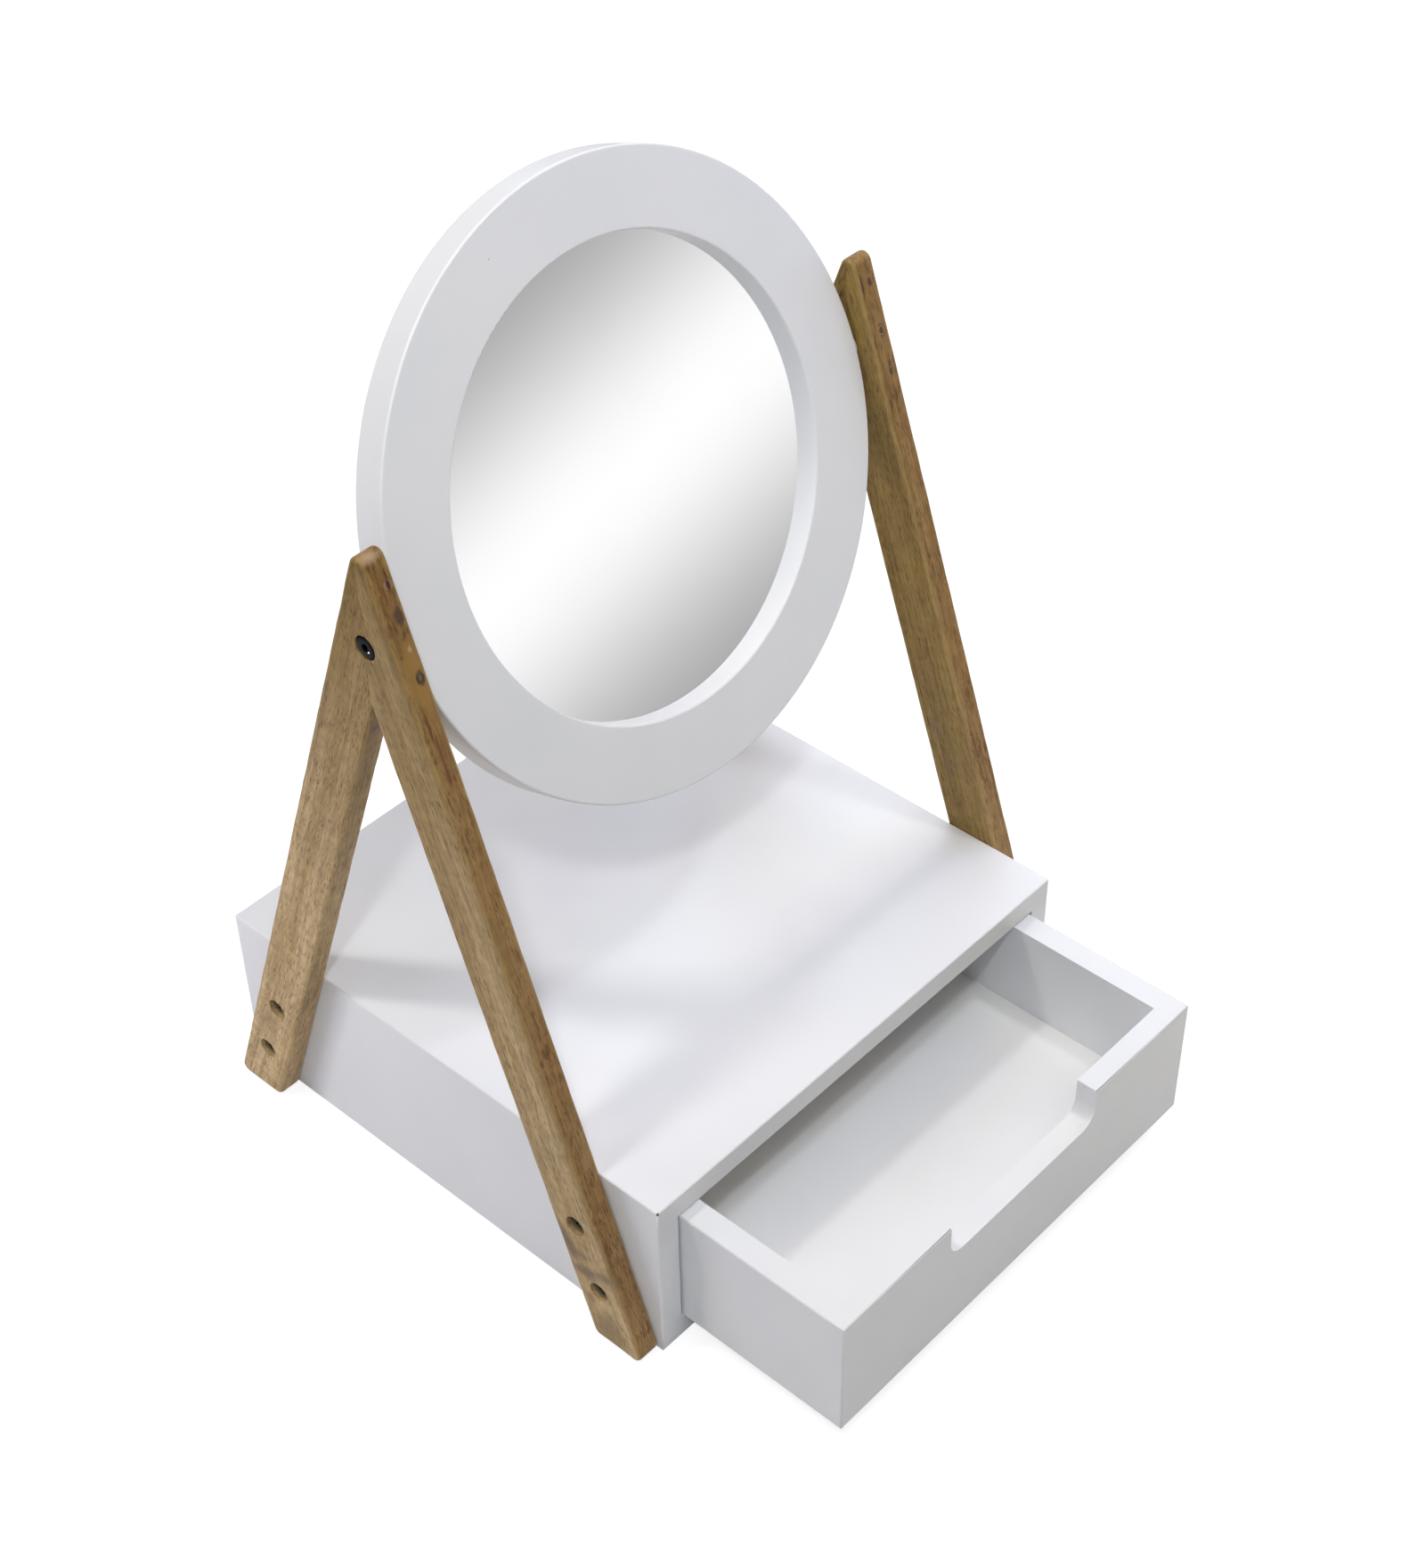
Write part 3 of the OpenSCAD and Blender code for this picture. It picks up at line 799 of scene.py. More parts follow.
class GeometryTree(Group):
    """A geometry node tree with named inputs for its sizes and its material."""

    FAMILY = "GeometryNode"
    KIND = "GeometryNodeTree"
    WELD = 1e-6

    def __init__(self, name: str, sizes: dict[str, object]) -> None:
        """Makes a tree whose inputs are the sizes, the geometry and the material."""
        super().__init__(name, {"Geometry": "Geometry", **sizes, "Material": "Material"}, {"Geometry": "Geometry"})
        self.index = self.get("InputIndex")

    def whole(self, operation: str, a: object, b: object) -> Socket:
        """An Integer Math node's result."""
        return self.get("FunctionNodeIntegerMath", {0: a, 1: b}, operation=operation)

    def xyz(self, x: object = 0.0, y: object = 0.0, z: object = 0.0) -> Socket:
        """A vector made of three values or sockets."""
        return self.get("ShaderNodeCombineXYZ", {0: x, 1: y, 2: z})

    def moved(self, geometry: Socket, **how: object) -> Socket:
        """Geometry with a Translation, a Rotation or both."""
        return self.get("Transform", {"Geometry": geometry, **how})

    def hung(self, geometry: Socket) -> Socket:
        """Geometry leant back and put at the mirror's place."""
        lean = self.xyz(x=self.times(self.given["Lean"], -1.0))
        return self.moved(geometry, Translation=self.given["Place"], Rotation=lean)

    def placed(self, geometry: Socket, position: Socket) -> Socket:
        """Geometry with each point at a place of its own."""
        return self.get("SetPosition", {"Geometry": geometry, "Position": position})

    def copies(self, points: Socket, piece: Socket, **how: object) -> Socket:
        """A copy of a piece at each point."""
        return self.get("InstanceOnPoints", {"Points": points, "Instance": piece, **how})

    def joined(self, *parts: Socket) -> Socket:
        """Joins geometries.

        Args:
            parts: the geometries.

        Returns:
            All of them as one.
        """
        join = self.add("JoinGeometry")
        for part in parts:
            self.put(part, join.inputs[0])
        return join.outputs[0]

    def bored(self, mesh: Socket, cutter: Socket, **how: object) -> Socket:
        """A mesh less another."""
        inputs = {"Mesh 1": mesh, "Mesh 2": cutter, **how}
        return self.get("MeshBoolean", inputs, operation="DIFFERENCE", solver="EXACT")

    def welded(self, mesh: Socket) -> Socket:
        """A mesh whose doubled points are one."""
        return self.get("MergeByDistance", {"Geometry": mesh, "Distance": self.WELD})

    def rounded(self, curve: Socket, radius: Socket, steps: object) -> Socket:
        """A curve with rounded corners."""
        return self.get("FilletCurve", {"Curve": curve, "Radius": radius, "Count": steps}, mode="POLY")

    def pick(self, kind: str, values: Sequence[object]) -> Socket:
        """Picks one of several values for each point, by its index.

        Args:
            kind: the values' data type.
            values: the values or sockets, in order.

        Returns:
            The value picked.
        """
        node = self.add("IndexSwitch", data_type=kind)
        while len(node.index_switch_items) < len(values):
            node.index_switch_items.new()
        for value, socket in zip((self.index, *values), node.inputs):
            self.put(value, socket)
        return node.outputs[0]

    def profile(self, corners: Sequence[tuple[object, object]], radii: Sequence[object], steps: object) -> Socket:
        """A closed outline with rounded corners, as a curve in the plane of radius (x) and height (z).

        Args:
            corners: radius and height of each corner, as values or sockets.
            radii: the radius of each corner's rounding.
            steps: how many edges a rounding has.

        Returns:
            The curve.
        """
        line = self.get("MeshLine", {"Count": len(corners)})
        line = self.placed(line, self.pick("VECTOR", [self.xyz(x=r, z=z) for r, z in corners]))
        curve = self.get("SetSplineCyclic", {"Geometry": self.get("MeshToCurve", {0: line}), "Cyclic": True})
        return self.rounded(curve, self.pick("FLOAT", radii), steps)

    def revolve(self, profile: Socket, steps: object) -> Socket:
        """A profile turned about the Z axis as a closed mesh.

        Args:
            profile: a closed curve of radius (x) and height (z).
            steps: how many faces go round.

        Returns:
            The mesh.
        """
        size = self.add("AttributeDomainSize", {0: profile}, component="CURVE").outputs["Point Count"]
        across = self.whole("ADD", steps, 1)
        grid = self.get("MeshGrid", {"Vertices X": self.whole("ADD", size, 1), "Vertices Y": across})
        column = self.whole("MODULO", self.whole("DIVIDE_FLOOR", self.index, across), size)
        inputs = {"Geometry": profile, "Value": self.get("InputPosition"), "Index": column}
        sample = self.get("SampleIndex", inputs, data_type="FLOAT_VECTOR", domain="POINT")
        r, _, z = self.add("ShaderNodeSeparateXYZ", {0: sample}).outputs
        angle = self.times(self.math("DIVIDE", self.whole("MODULO", self.index, across), steps), math.tau)
        x, y = (self.times(r, self.math(way, angle)) for way in ("COSINE", "SINE"))
        return self.welded(self.placed(grid, self.xyz(x, y, z)))


def grown(
    name: str,
    shape: Callable[[GeometryTree], Socket],
    sizes: dict[str, object],
    finish: Material,
    places: Iterable[Sequence[float]] = (),
) -> Mesh:
    """Lays a geometry tree, ends it in plain geometry with its material, and runs it on a helper.

    Args:
        name: the tree's name.
        shape: lays the tree's nodes and gives their geometry.
        sizes: the tree's inputs by name, in metres and radians.
        finish: the material that the tree sets.
        places: the helper's points in millimetres, where the tree repeats something at points.

    Returns:
        A plain, smooth-shaded mesh with faces that point outwards.
    """
    g = GeometryTree(name, sizes)
    smooth = g.get("SetShadeSmooth", {0: g.get("RealizeInstances", {0: shape(g)})})
    g.put(g.get("SetMaterial", {"Geometry": smooth, "Material": g.given["Material"]}), g.result[0])
    host = bpy.data.meshes.new("host")
    host.from_pydata([Vector(p) * MM for p in places], [], [])
    helper = linked("helper", host)
    build = helper.modifiers.new("build", "NODES")
    build.node_group = g.tree
    keys = {s.name: s.identifier for s in g.tree.interface.items_tree if s.in_out == "INPUT"}
    for label, value in {**sizes, "Material": finish}.items():
        build[keys[label]] = value
    mesh = baked(helper)
    bm = bmesh.new()
    bm.from_mesh(mesh)
    return smoothed(as_mesh(bm, mesh))


def ring_shape(g: GeometryTree) -> Socket:
    """Lays the mirror's round frame: a rounded profile with a rebate, turned, bored for the inserts and leant back.

    Args:
        g: the tree.

    Returns:
        The geometry.
    """
    given = g.given
    front, back = g.times(given["Thickness"], 0.5), g.times(given["Thickness"], -0.5)
    shelf = g.less(front, given["Glass depth"])
    hole, outer, rebate, edge = (given[f"{word} radius"] for word in ("Hole", "Outer", "Rebate", "Edge"))
    corners = [(hole, front), (outer, front), (outer, back), (rebate, back), (rebate, shelf), (hole, shelf)]
    profile = g.profile(corners, [edge, edge, edge, 0.0, 0.0, 0.0], given["Steps in rounding"])
    stand = g.moved(g.revolve(profile, given["Steps round"]), Rotation=Euler((math.pi / 2, 0.0, 0.0)))
    size = {"Vertices": 48, "Radius": given["Bore radius"], "Depth": g.times(given["Bore length"], 2.0)}
    ends = g.pick("VECTOR", [g.xyz(x=outer), g.xyz(x=g.times(outer, -1.0))])
    ends = g.placed(g.get("MeshLine", {"Count": 2}), ends)
    bores = g.copies(ends, g.get("MeshCylinder", size), Rotation=g.xyz(y=math.pi / 2))
    return g.hung(g.bored(stand, g.get("RealizeInstances", {0: bores})))


def screw_shape(g: GeometryTree) -> Socket:
    """Lays cross-head screws with a rolled thread, one at each point, heads away from the driving direction.

    Args:
        g: the tree.

    Returns:
        The geometry.
    """
    given = g.given
    head, high, shank, long = (given[key] for key in ("Head radius", "Head height", "Shank radius", "Length"))
    core, end, soft = g.times(shank, 0.8), g.times(long, -1.0), g.times(head, 0.2)
    tip = g.times(g.less(long, g.times(shank, 2.0)), -1.0)
    corners = [(0.0, high), (g.times(head, 0.72), high), (head, g.times(high, 0.55)), (head, 0.0)]
    corners += [(core, 0.0), (core, tip), (0.0, end)]
    solid = g.revolve(g.profile(corners, [0.0, soft, g.times(soft, 0.5), 0.00015, 0.0, 0.0, 0.0], 4), 32)
    size = g.xyz(g.times(head, 1.05), soft, g.times(given["Recess"], 2.0))
    arm = g.moved(g.get("MeshCube", {"Size": size}), Translation=g.xyz(z=high))
    cross = g.joined(arm, g.moved(arm, Rotation=Euler((0.0, 0.0, math.pi / 2))))
    solid = g.bored(solid, cross, **{"Self Intersection": True})

    sizes = {"Resolution": 20, "Rotations": given["Thread turns"], "Start Radius": core, "End Radius": core}
    helix = g.get("CurveSpiral", {**sizes, "Height": g.times(long, 0.72)})
    ridge = g.get("CurvePrimitiveCircle", {"Resolution": 5, "Radius": g.times(shank, 0.2)})
    thread = g.get("CurveToMesh", {"Curve": helix, "Profile Curve": ridge, "Fill Caps": True})
    thread = g.moved(thread, Translation=g.xyz(z=g.less(tip, g.times(shank, -0.2))))
    put = g.copies(given["Geometry"], g.joined(solid, thread), Rotation=given["Heading"])
    turns = {"Min": (0.0, 0.0, 0.0), "Max": (0.0, 0.0, math.tau), "Seed": given["Seed"]}
    spin = g.get("FunctionNodeRandomValue", turns, data_type="FLOAT_VECTOR")
    return g.get("RotateInstances", {"Instances": put, "Rotation": spin, "Local Space": True})


def dowel_shape(g: GeometryTree) -> Socket:
    """Lays level dowels along Y, one at each point, planed flush with a leaning front edge.

    Args:
        g: the tree.

    Returns:
        The geometry.
    """
    given = g.given
    size = {"Vertices": 32, "Side Segments": 6, "Fill Segments": 4, "Radius": given["Radius"], "Depth": 1.0}
    lying = g.moved(g.get("MeshCylinder", size), Rotation=Euler((math.pi / 2, 0.0, 0.0)))
    real = g.get("RealizeInstances", {0: g.copies(given["Geometry"], lying)})
    x, y, z = g.add("ShaderNodeSeparateXYZ", {0: g.get("InputPosition")}).outputs
    front = g.plus(given["Front foot"], g.times(z, g.math("TANGENT", given["Front lean"])))
    rear = g.less(given["Rear foot"], g.times(z, g.math("TANGENT", given["Rear lean"])))
    rear = g.less(rear, given["Cover"])
    y = g.plus(front, g.times(g.plus(y, 0.5), g.less(rear, front)))
    return g.placed(real, g.xyz(x, y, z))


def clip_shape(g: GeometryTree) -> Socket:
    """Lays turn clips behind the round frame: a slotted plate with round ends, repeated about the mirror's axis.

    Args:
        g: the tree.

    Returns:
        The geometry.
    """
    given = g.given
    wide, count = given["Width"], given["Count"]
    reach = g.less(given["Length"], wide)
    bar = g.get("CurvePrimitiveQuadrilateral", {"Width": g.plus(reach, wide), "Height": wide}, mode="RECTANGLE")
    bar = g.rounded(bar, g.times(g.times(wide, 0.5), 0.98), 12)
    bar = g.moved(bar, Translation=g.xyz(x=g.times(reach, -0.5)))
    hole = g.get("CurvePrimitiveCircle", {"Resolution": 24, "Radius": given["Hole radius"]})
    sheet = g.get("FillCurve", {0: g.joined(bar, hole)})
    lift = {"Mesh": sheet, "Offset": g.xyz(z=1.0), "Offset Scale": given["Thickness"], "Individual": False}
    clip = g.welded(g.joined(g.get("ExtrudeMesh", lift), g.get("FlipFaces", {0: sheet})))
    clip = g.moved(clip, Translation=g.xyz(x=given["Pivot radius"], z=given["Depth"]))
    points = g.get("MeshLine", {"Count": count, "Offset": (0.0, 0.0, 0.0)})
    angle = g.math("DIVIDE", g.times(g.plus(g.index, 0.5), math.tau), count)
    ring = g.get("RealizeInstances", {0: g.copies(points, clip, Rotation=g.xyz(z=angle))})
    return g.hung(g.moved(ring, Rotation=Euler((-math.pi / 2, 0.0, 0.0))))


def metres(**sizes: float) -> dict[str, float]:
    """Sizes in millimetres as a tree's inputs in metres, with spaces in their names."""
    return {name.replace("_", " "): value * MM for name, value in sizes.items()}


@dataclass(frozen=True)
class Screw:
    """A cross-head screw's sizes."""

    head_d: float
    head_t: float
    shank_d: float
    length: float
    recess: float = 1.3
    turns: float = 9.0

    def driven(self, places: Iterable[Sequence[float]], heading: Point, seed: int, steel: Material) -> Mesh:
        """Screws with their heads' seats at some places.

        Args:
            places: the seats in millimetres.
            heading: how an upright screw is turned, in radians.
            seed: sets how far each is driven round.
            steel: the screws' finish.

        Returns:
            One mesh of them all.
        """
        sizes = metres(
            Head_radius=self.head_d / 2, Head_height=self.head_t, Shank_radius=self.shank_d / 2, Length=self.length,
            Recess=self.recess,
        )
        sizes |= {"Thread turns": self.turns, "Heading": heading, "Seed": seed}
        return grown("cross_head_screws", screw_shape, sizes, steel, places)


# Sub-assemblies


@dataclass
class BoxCarcass:
    """The painted box: top and bottom boards over two sides, and a back panel let in from behind."""

    chips: tuple[Mark, ...] = (
        Mark((-149.4, -149.6, 102.3), (0.9, 0.7, 1.1), (0.05, 0.045, 0.04), 0.95, 0.3, 0.4),
        Mark((-149.9, -149.9, 98.0), (0.35, 0.35, 3.2), (0.25, 0.24, 0.25), 0.7, 0.6, 0.4),
        Mark((-149.9, -149.9, 90.0), (0.25, 0.25, 5.0), (0.45, 0.44, 0.46), 0.6, 0.7, 0.4),
    )
    boards: tuple[str, ...] = ("top", "bottom", "left_side", "right_side", "back")
    half_opening: float = 136.5
    opening: Pair = (13.5, 89.5)
    fill_y: float = -149.1
    fill_r: float = 2.0
    fill_least: float = 0.02
    fill_depth: float = 26.0
    fill_steps: tuple[int, int] = (8, 6)

    def corner_fill(self) -> Mesh:
        """The paint that rounds the four inner corners at the mouth of the opening, thinning out towards the back.

        Returns:
            One mesh of four tapered fillets.
        """
        bm = bmesh.new()
        arc, along = self.fill_steps
        angles = [math.pi / 2 * i / arc for i in range(arc + 1)]
        for side in Side:
            for level, up in zip(self.opening, (1, -1)):
                rings = []
                for share in (j / along for j in range(along + 1)):
                    r = self.fill_r * math.sqrt(max(self.fill_least, 1.0 - share * share))
                    curve = [(0.0, 0.0), *((r * (1 - math.sin(a)), r * (1 - math.cos(a))) for a in angles)]
                    y = self.fill_y + share * self.fill_depth
                    rings.append([Vector((side.value * (self.half_opening - u), y, level + up * v)) for u, v in curve])
                bm.from_mesh(loft(rings, capped=True))
        return smoothed(as_mesh(bm, outward=False), 50.0)

    def build(self) -> None:
        """Makes and paints the boards."""
        white = Paint(marks_on_it=self.chips).material("carcass_lacquer")
        for node in (f"carcass_{board}" for board in self.boards):
            settle(node, "painted", merged_copy(node), Body.FRAME, "white_paint", white)
        settle("opening_corner", "fill", self.corner_fill(), Body.FRAME, "white_paint", white)


@dataclass
class Drawer:
    """The painted drawer: a front with a finger notch, two sides, a back, and a lined floor in grooves."""

    paint: Paint = Paint()
    lining: Paint = Paint(
        (0.80, 0.80, 0.80), (0.77, 0.77, 0.765), 0.45, relief=0.01, speck_amount=0.1, dimple=1400.0
    )
    boards: tuple[str, ...] = ("front", "left_side", "right_side", "back")

    def build(self) -> None:
        """Makes and paints the boards and the floor."""
        white = self.paint.material("drawer_lacquer")
        for node in (f"drawer_{board}" for board in self.boards):
            settle(node, "painted", merged_copy(node), Body.DRAWER, "white_paint", white)
        lining = self.lining.material("drawer_floor_lining")
        settle("drawer_floor", "lined", merged_copy("drawer_floor"), Body.DRAWER, "drawer_lining", lining)


@dataclass
class Pivot:
    """Where the mirror turns, and the black bolt, nylon washer and brass insert on each side."""

    y: float = -4.2306
    height: float = 368.0
    outer_x: float = 163.5
    inner_x: float = 150.0
    bolt_d: float = 6.0
    head_d: float = 12.0
    head_t: float = 3.3
    dome: tuple[Pair, ...] = ((0.62, 0.0), (0.78, 0.12), (0.9, 0.42), (0.975, 0.9), (1.0, 1.5))
    sunk: float = 0.2
    head_gap: float = 0.15
    socket_af: float = 4.0
    socket_depth: float = 2.0
    socket_ease: float = 0.18
    bolt_end: float = 136.7
    washer_d: float = 16.0
    washer_t: float = 0.9
    insert_d: float = 9.0
    insert_from: float = 148.7
    insert_to: float = 135.7
    rib_pitch: float = 1.6
    rib_depth: float = 0.7
    thread_clear: float = 0.05
    ease: float = 0.15
    black: Metal = Metal(
        (0.006, 0.006, 0.007), (0.014, 0.014, 0.016), 0.3, 0.01, 0.0, 1.14,
        # The white mark on the socket's edge is a painted highlight, standing for a lamp's glint on the bolt head.
        (Mark((-162.8, -6.1, 366.7), (2.0, 0.9, 0.9), WHITE, 1.0, 0.4, 0.2),),
    )
    brass: Metal = Metal((0.66, 0.47, 0.22), (0.42, 0.29, 0.13))
    nylon: Polymer = Polymer()

    def centre(self, side: Side, x: float) -> Point:
        """A point on the pivot's axis, in millimetres."""
        return (side.value * x, self.y, self.height)

    def lathed(self, side: Side, x: float, profile: Sequence[Pair], steps: int = 48) -> Mesh:
        """A body turned about the pivot's axis, from a distance x inwards."""
        return turned(profile, self.centre(side, x), Vector((-side.value, 0, 0)), steps)

    def bolt(self, side: Side) -> Mesh:
        """A bolt with a low domed head, an eased rim and a hexagon socket.

        Args:
            side: the bolt's side.

        Returns:
            The mesh.
        """
        r, t, shank, start = self.head_d / 2, self.head_t, self.bolt_d / 2, self.outer_x - self.sunk
        length, depth, lip = start - self.bolt_end, self.socket_depth, self.socket_ease
        shape = [(r * share, z) for share, z in self.dome]
        shape += [(r, t - 0.25), (r - 0.25, t), (shank + 0.35, t), (shank, t + 0.35), (shank, length - 0.8)]
        solid = self.lathed(side, start, [*shape, (shank - 0.8, length)])
        hexagon = self.socket_af / 2 / math.cos(math.pi / 6)
        wall = [(hexagon, -1.0), (hexagon, depth - 0.25), (hexagon * 0.75, depth)]
        for cutter in (wall, [(hexagon + 1.0, -1.0), (hexagon - 0.15, lip)]):
            solid = cut(solid, [self.lathed(side, start, cutter, 6)])
        return smoothed(solid, 28.0)

    def bushing(self, side: Side, x: float, profile: Sequence[Pair], bore: float) -> Mesh:
        """A turned body with a bore through it.

        Args:
            side: its side.
            x: where it starts, as a distance from the middle.
            profile: its outline, from its outer end inwards.
            bore: the bore's radius.

        Returns:
            The mesh.
        """
        hole = self.lathed(side, x, [(bore, -1.0), (bore, profile[-1][1] + 1.0)])
        return smoothed(cut(self.lathed(side, x, profile), [hole]))

    def washer(self, side: Side) -> Mesh:
        """A flat washer with eased edges."""
        r, t, e = self.washer_d / 2, self.washer_t, self.ease
        return self.bushing(side, self.inner_x, [(r - e, 0), (r, e), (r, t - e), (r - e, t)], self.bolt_d / 2 + e)

    def insert(self, side: Side) -> Mesh:
        """A threaded insert with a ribbed outside.

        Args:
            side: the insert's side.

        Returns:
            The mesh.
        """
        length, r = self.insert_from - self.insert_to, self.insert_d / 2
        ribs = [(r - 0.3, 0.0), (r, 0.3), (r, 1.2)]
        for i in range(int((length - 2.6) / self.rib_pitch)):
            z = 1.4 + i * self.rib_pitch
            ribs += [(r - self.rib_depth, z + 0.3), (r - self.rib_depth, z + 0.8), (r, z + 1.3)]
        ribs += [(r, length - 0.3), (r - 0.3, length)]
        return self.bushing(side, self.insert_from, ribs, self.bolt_d / 2 + self.thread_clear)

    def build(self) -> None:
        """Makes and dresses the fittings of both sides."""
        black, brass = self.black.material("blackened_bolt"), self.brass.material("brass")
        nylon = self.nylon.material("nylon")
        for side in Side:
            start = f"{side.word}_pivot_"
            settle(start + "bolt", "turned", self.bolt(side), Body.MIRROR, "black_bolts", black)
            settle(start + "insert", "turned", self.insert(side), Body.MIRROR, "brass_inserts", brass)
            settle(start + "washer", "turned", self.washer(side), Body.FRAME, "nylon", nylon)


@dataclass
class LegShape:
    """A leg's sizes and the lines that its outline follows, seen from the side."""

    end: End
    thick: float = 13.5
    wide: float = 30.0
    height: float = 415.0
    peak_height: float = 424.5
    peak_y: float = -4.8
    foot: float = 148.8
    edge_r: float = 2.2
    foot_r: float = 4.5
    peak_r: float = 5.5
    crotch: Pair = (-3.886, 333.81)
    seam_clear: float = 0.9
    pitch: float = 6.0
    grain_steps: Point = (0.41, 0.93, 0.29)

    @property
    def lean(self) -> float:
        """The leg's lean in radians."""
        return math.atan((self.foot - self.end.value * self.peak_y) / self.peak_height)

    @property
    def foot_y(self) -> float:
        """Where the leg's outer edge meets the floor."""
        return self.end.value * self.foot

    def outer_y(self, height: float) -> float:
        """The outer edge at a height."""
        return self.foot_y - self.end.value * height * math.tan(self.lean)

    def middle_y(self, height: float) -> float:
        """The leg's centre line at a height."""
        return self.outer_y(height) - self.end.value * self.wide / math.cos(self.lean) / 2

    def past_mitre(self, point: Vector) -> float:
        """How far a point of the side view lies behind the mitre line."""
        y, z = self.crotch
        return point.x - (y + (self.peak_y - y) * (point.y - z) / (self.peak_height - z))

    def outline(self) -> list[tuple[Vector, float]]:
        """The outline in the side view.

        Returns:
            Points as (y, height), each with 1 on a free edge or 0.5 at an end of the mitre, which isn't eased.
        """
        e, run = self.end.value, self.wide / math.cos(self.lean)
        out_foot, in_foot = Vector((self.foot_y, 0.0)), Vector((self.foot_y - e * run, 0.0))
        out_top, crotch = Vector((self.outer_y(self.height), self.height)), Vector(self.crotch)
        heel = self.rounded(in_foot, out_foot, out_top, self.foot_r)
        toe = self.rounded(crotch, in_foot, out_foot, self.foot_r)
        peak = self.rounded(out_foot, out_top, out_top - Vector((e * self.wide, 0.0)), self.peak_r)
        over = next(i for i, q in enumerate(peak) if e * self.past_mitre(q) <= 0)
        gap, beyond = (abs(self.past_mitre(q)) for q in peak[over - 1 : over + 1])
        seam_top = peak[over - 1].lerp(peak[over], gap / (gap + beyond))
        clear = [q for q in peak[:over] if abs(self.past_mitre(q)) > self.seam_clear]
        up = heel + self.between(heel[-1], peak[0]) + clear
        down = self.between(crotch, toe[0]) + toe + self.between(toe[-1], heel[0])
        return [*((q, 1.0) for q in up), (seam_top, 0.5), (crotch, 0.5), *((q, 1.0) for q in down)]

    def between(self, start: Vector, end: Vector) -> list[Vector]:
        """Evenly spaced points between two others."""
        steps = max(1, round((end - start).length / self.pitch))
        return [start.lerp(end, k / steps) for k in range(1, steps)]

    def rounded(self, before: Vector, corner: Vector, after: Vector, r: float, steps: int = 8) -> list[Vector]:
        """Takes a corner off with an arc.

        Args:
            before: the corner's neighbour that the arc starts towards.
            corner: the corner.
            after: the neighbour that it ends towards.
            r: the arc's radius.
            steps: how many straight pieces it has.

        Returns:
            The arc's points.
        """
        u, v = (before - corner).normalized(), (after - corner).normalized()
        half = math.acos(max(-1.0, min(1.0, u.dot(v)))) / 2
        centre = corner + (u + v).normalized() * r / math.sin(half)
        a, b = (corner + way * r / math.tan(half) - centre for way in (u, v))
        sweep = math.atan2(a.x * b.y - a.y * b.x, a.dot(b))
        return [centre + Matrix.Rotation(sweep * k / steps, 2) @ a for k in range(steps + 1)]

    def to_grain(self, side: Side, place: Point) -> Point:
        """A place of the part in the leg's own grain space.

        Args:
            side: the leg's side.
            place: a point in millimetres.

        Returns:
            The distance across the leg, along it and through it, in metres, with an offset that sets each leg apart.
        """
        e, away = self.end.value, Vector((place[1] - self.foot_y, place[2]))
        up = Vector((-e * math.sin(self.lean), math.cos(self.lean)))
        over = Vector((-e * math.cos(self.lean), -math.sin(self.lean)))
        key = side.value + 1 + (e + 1) // 2
        parts = zip((over.dot(away), up.dot(away), abs(place[0])), self.grain_steps)
        return tuple(part * MM + step * key for part, step in parts)


FRONT_LEG, REAR_LEG = LEGS = LegShape(End.FRONT), LegShape(End.REAR)


def share_of(value: float, low: float = 0.0, high: float = 1.0) -> float:
    """How far a value lies from low to high, kept within 0 and 1."""
    return max(0.0, min(1.0, (value - low) / (high - low)))


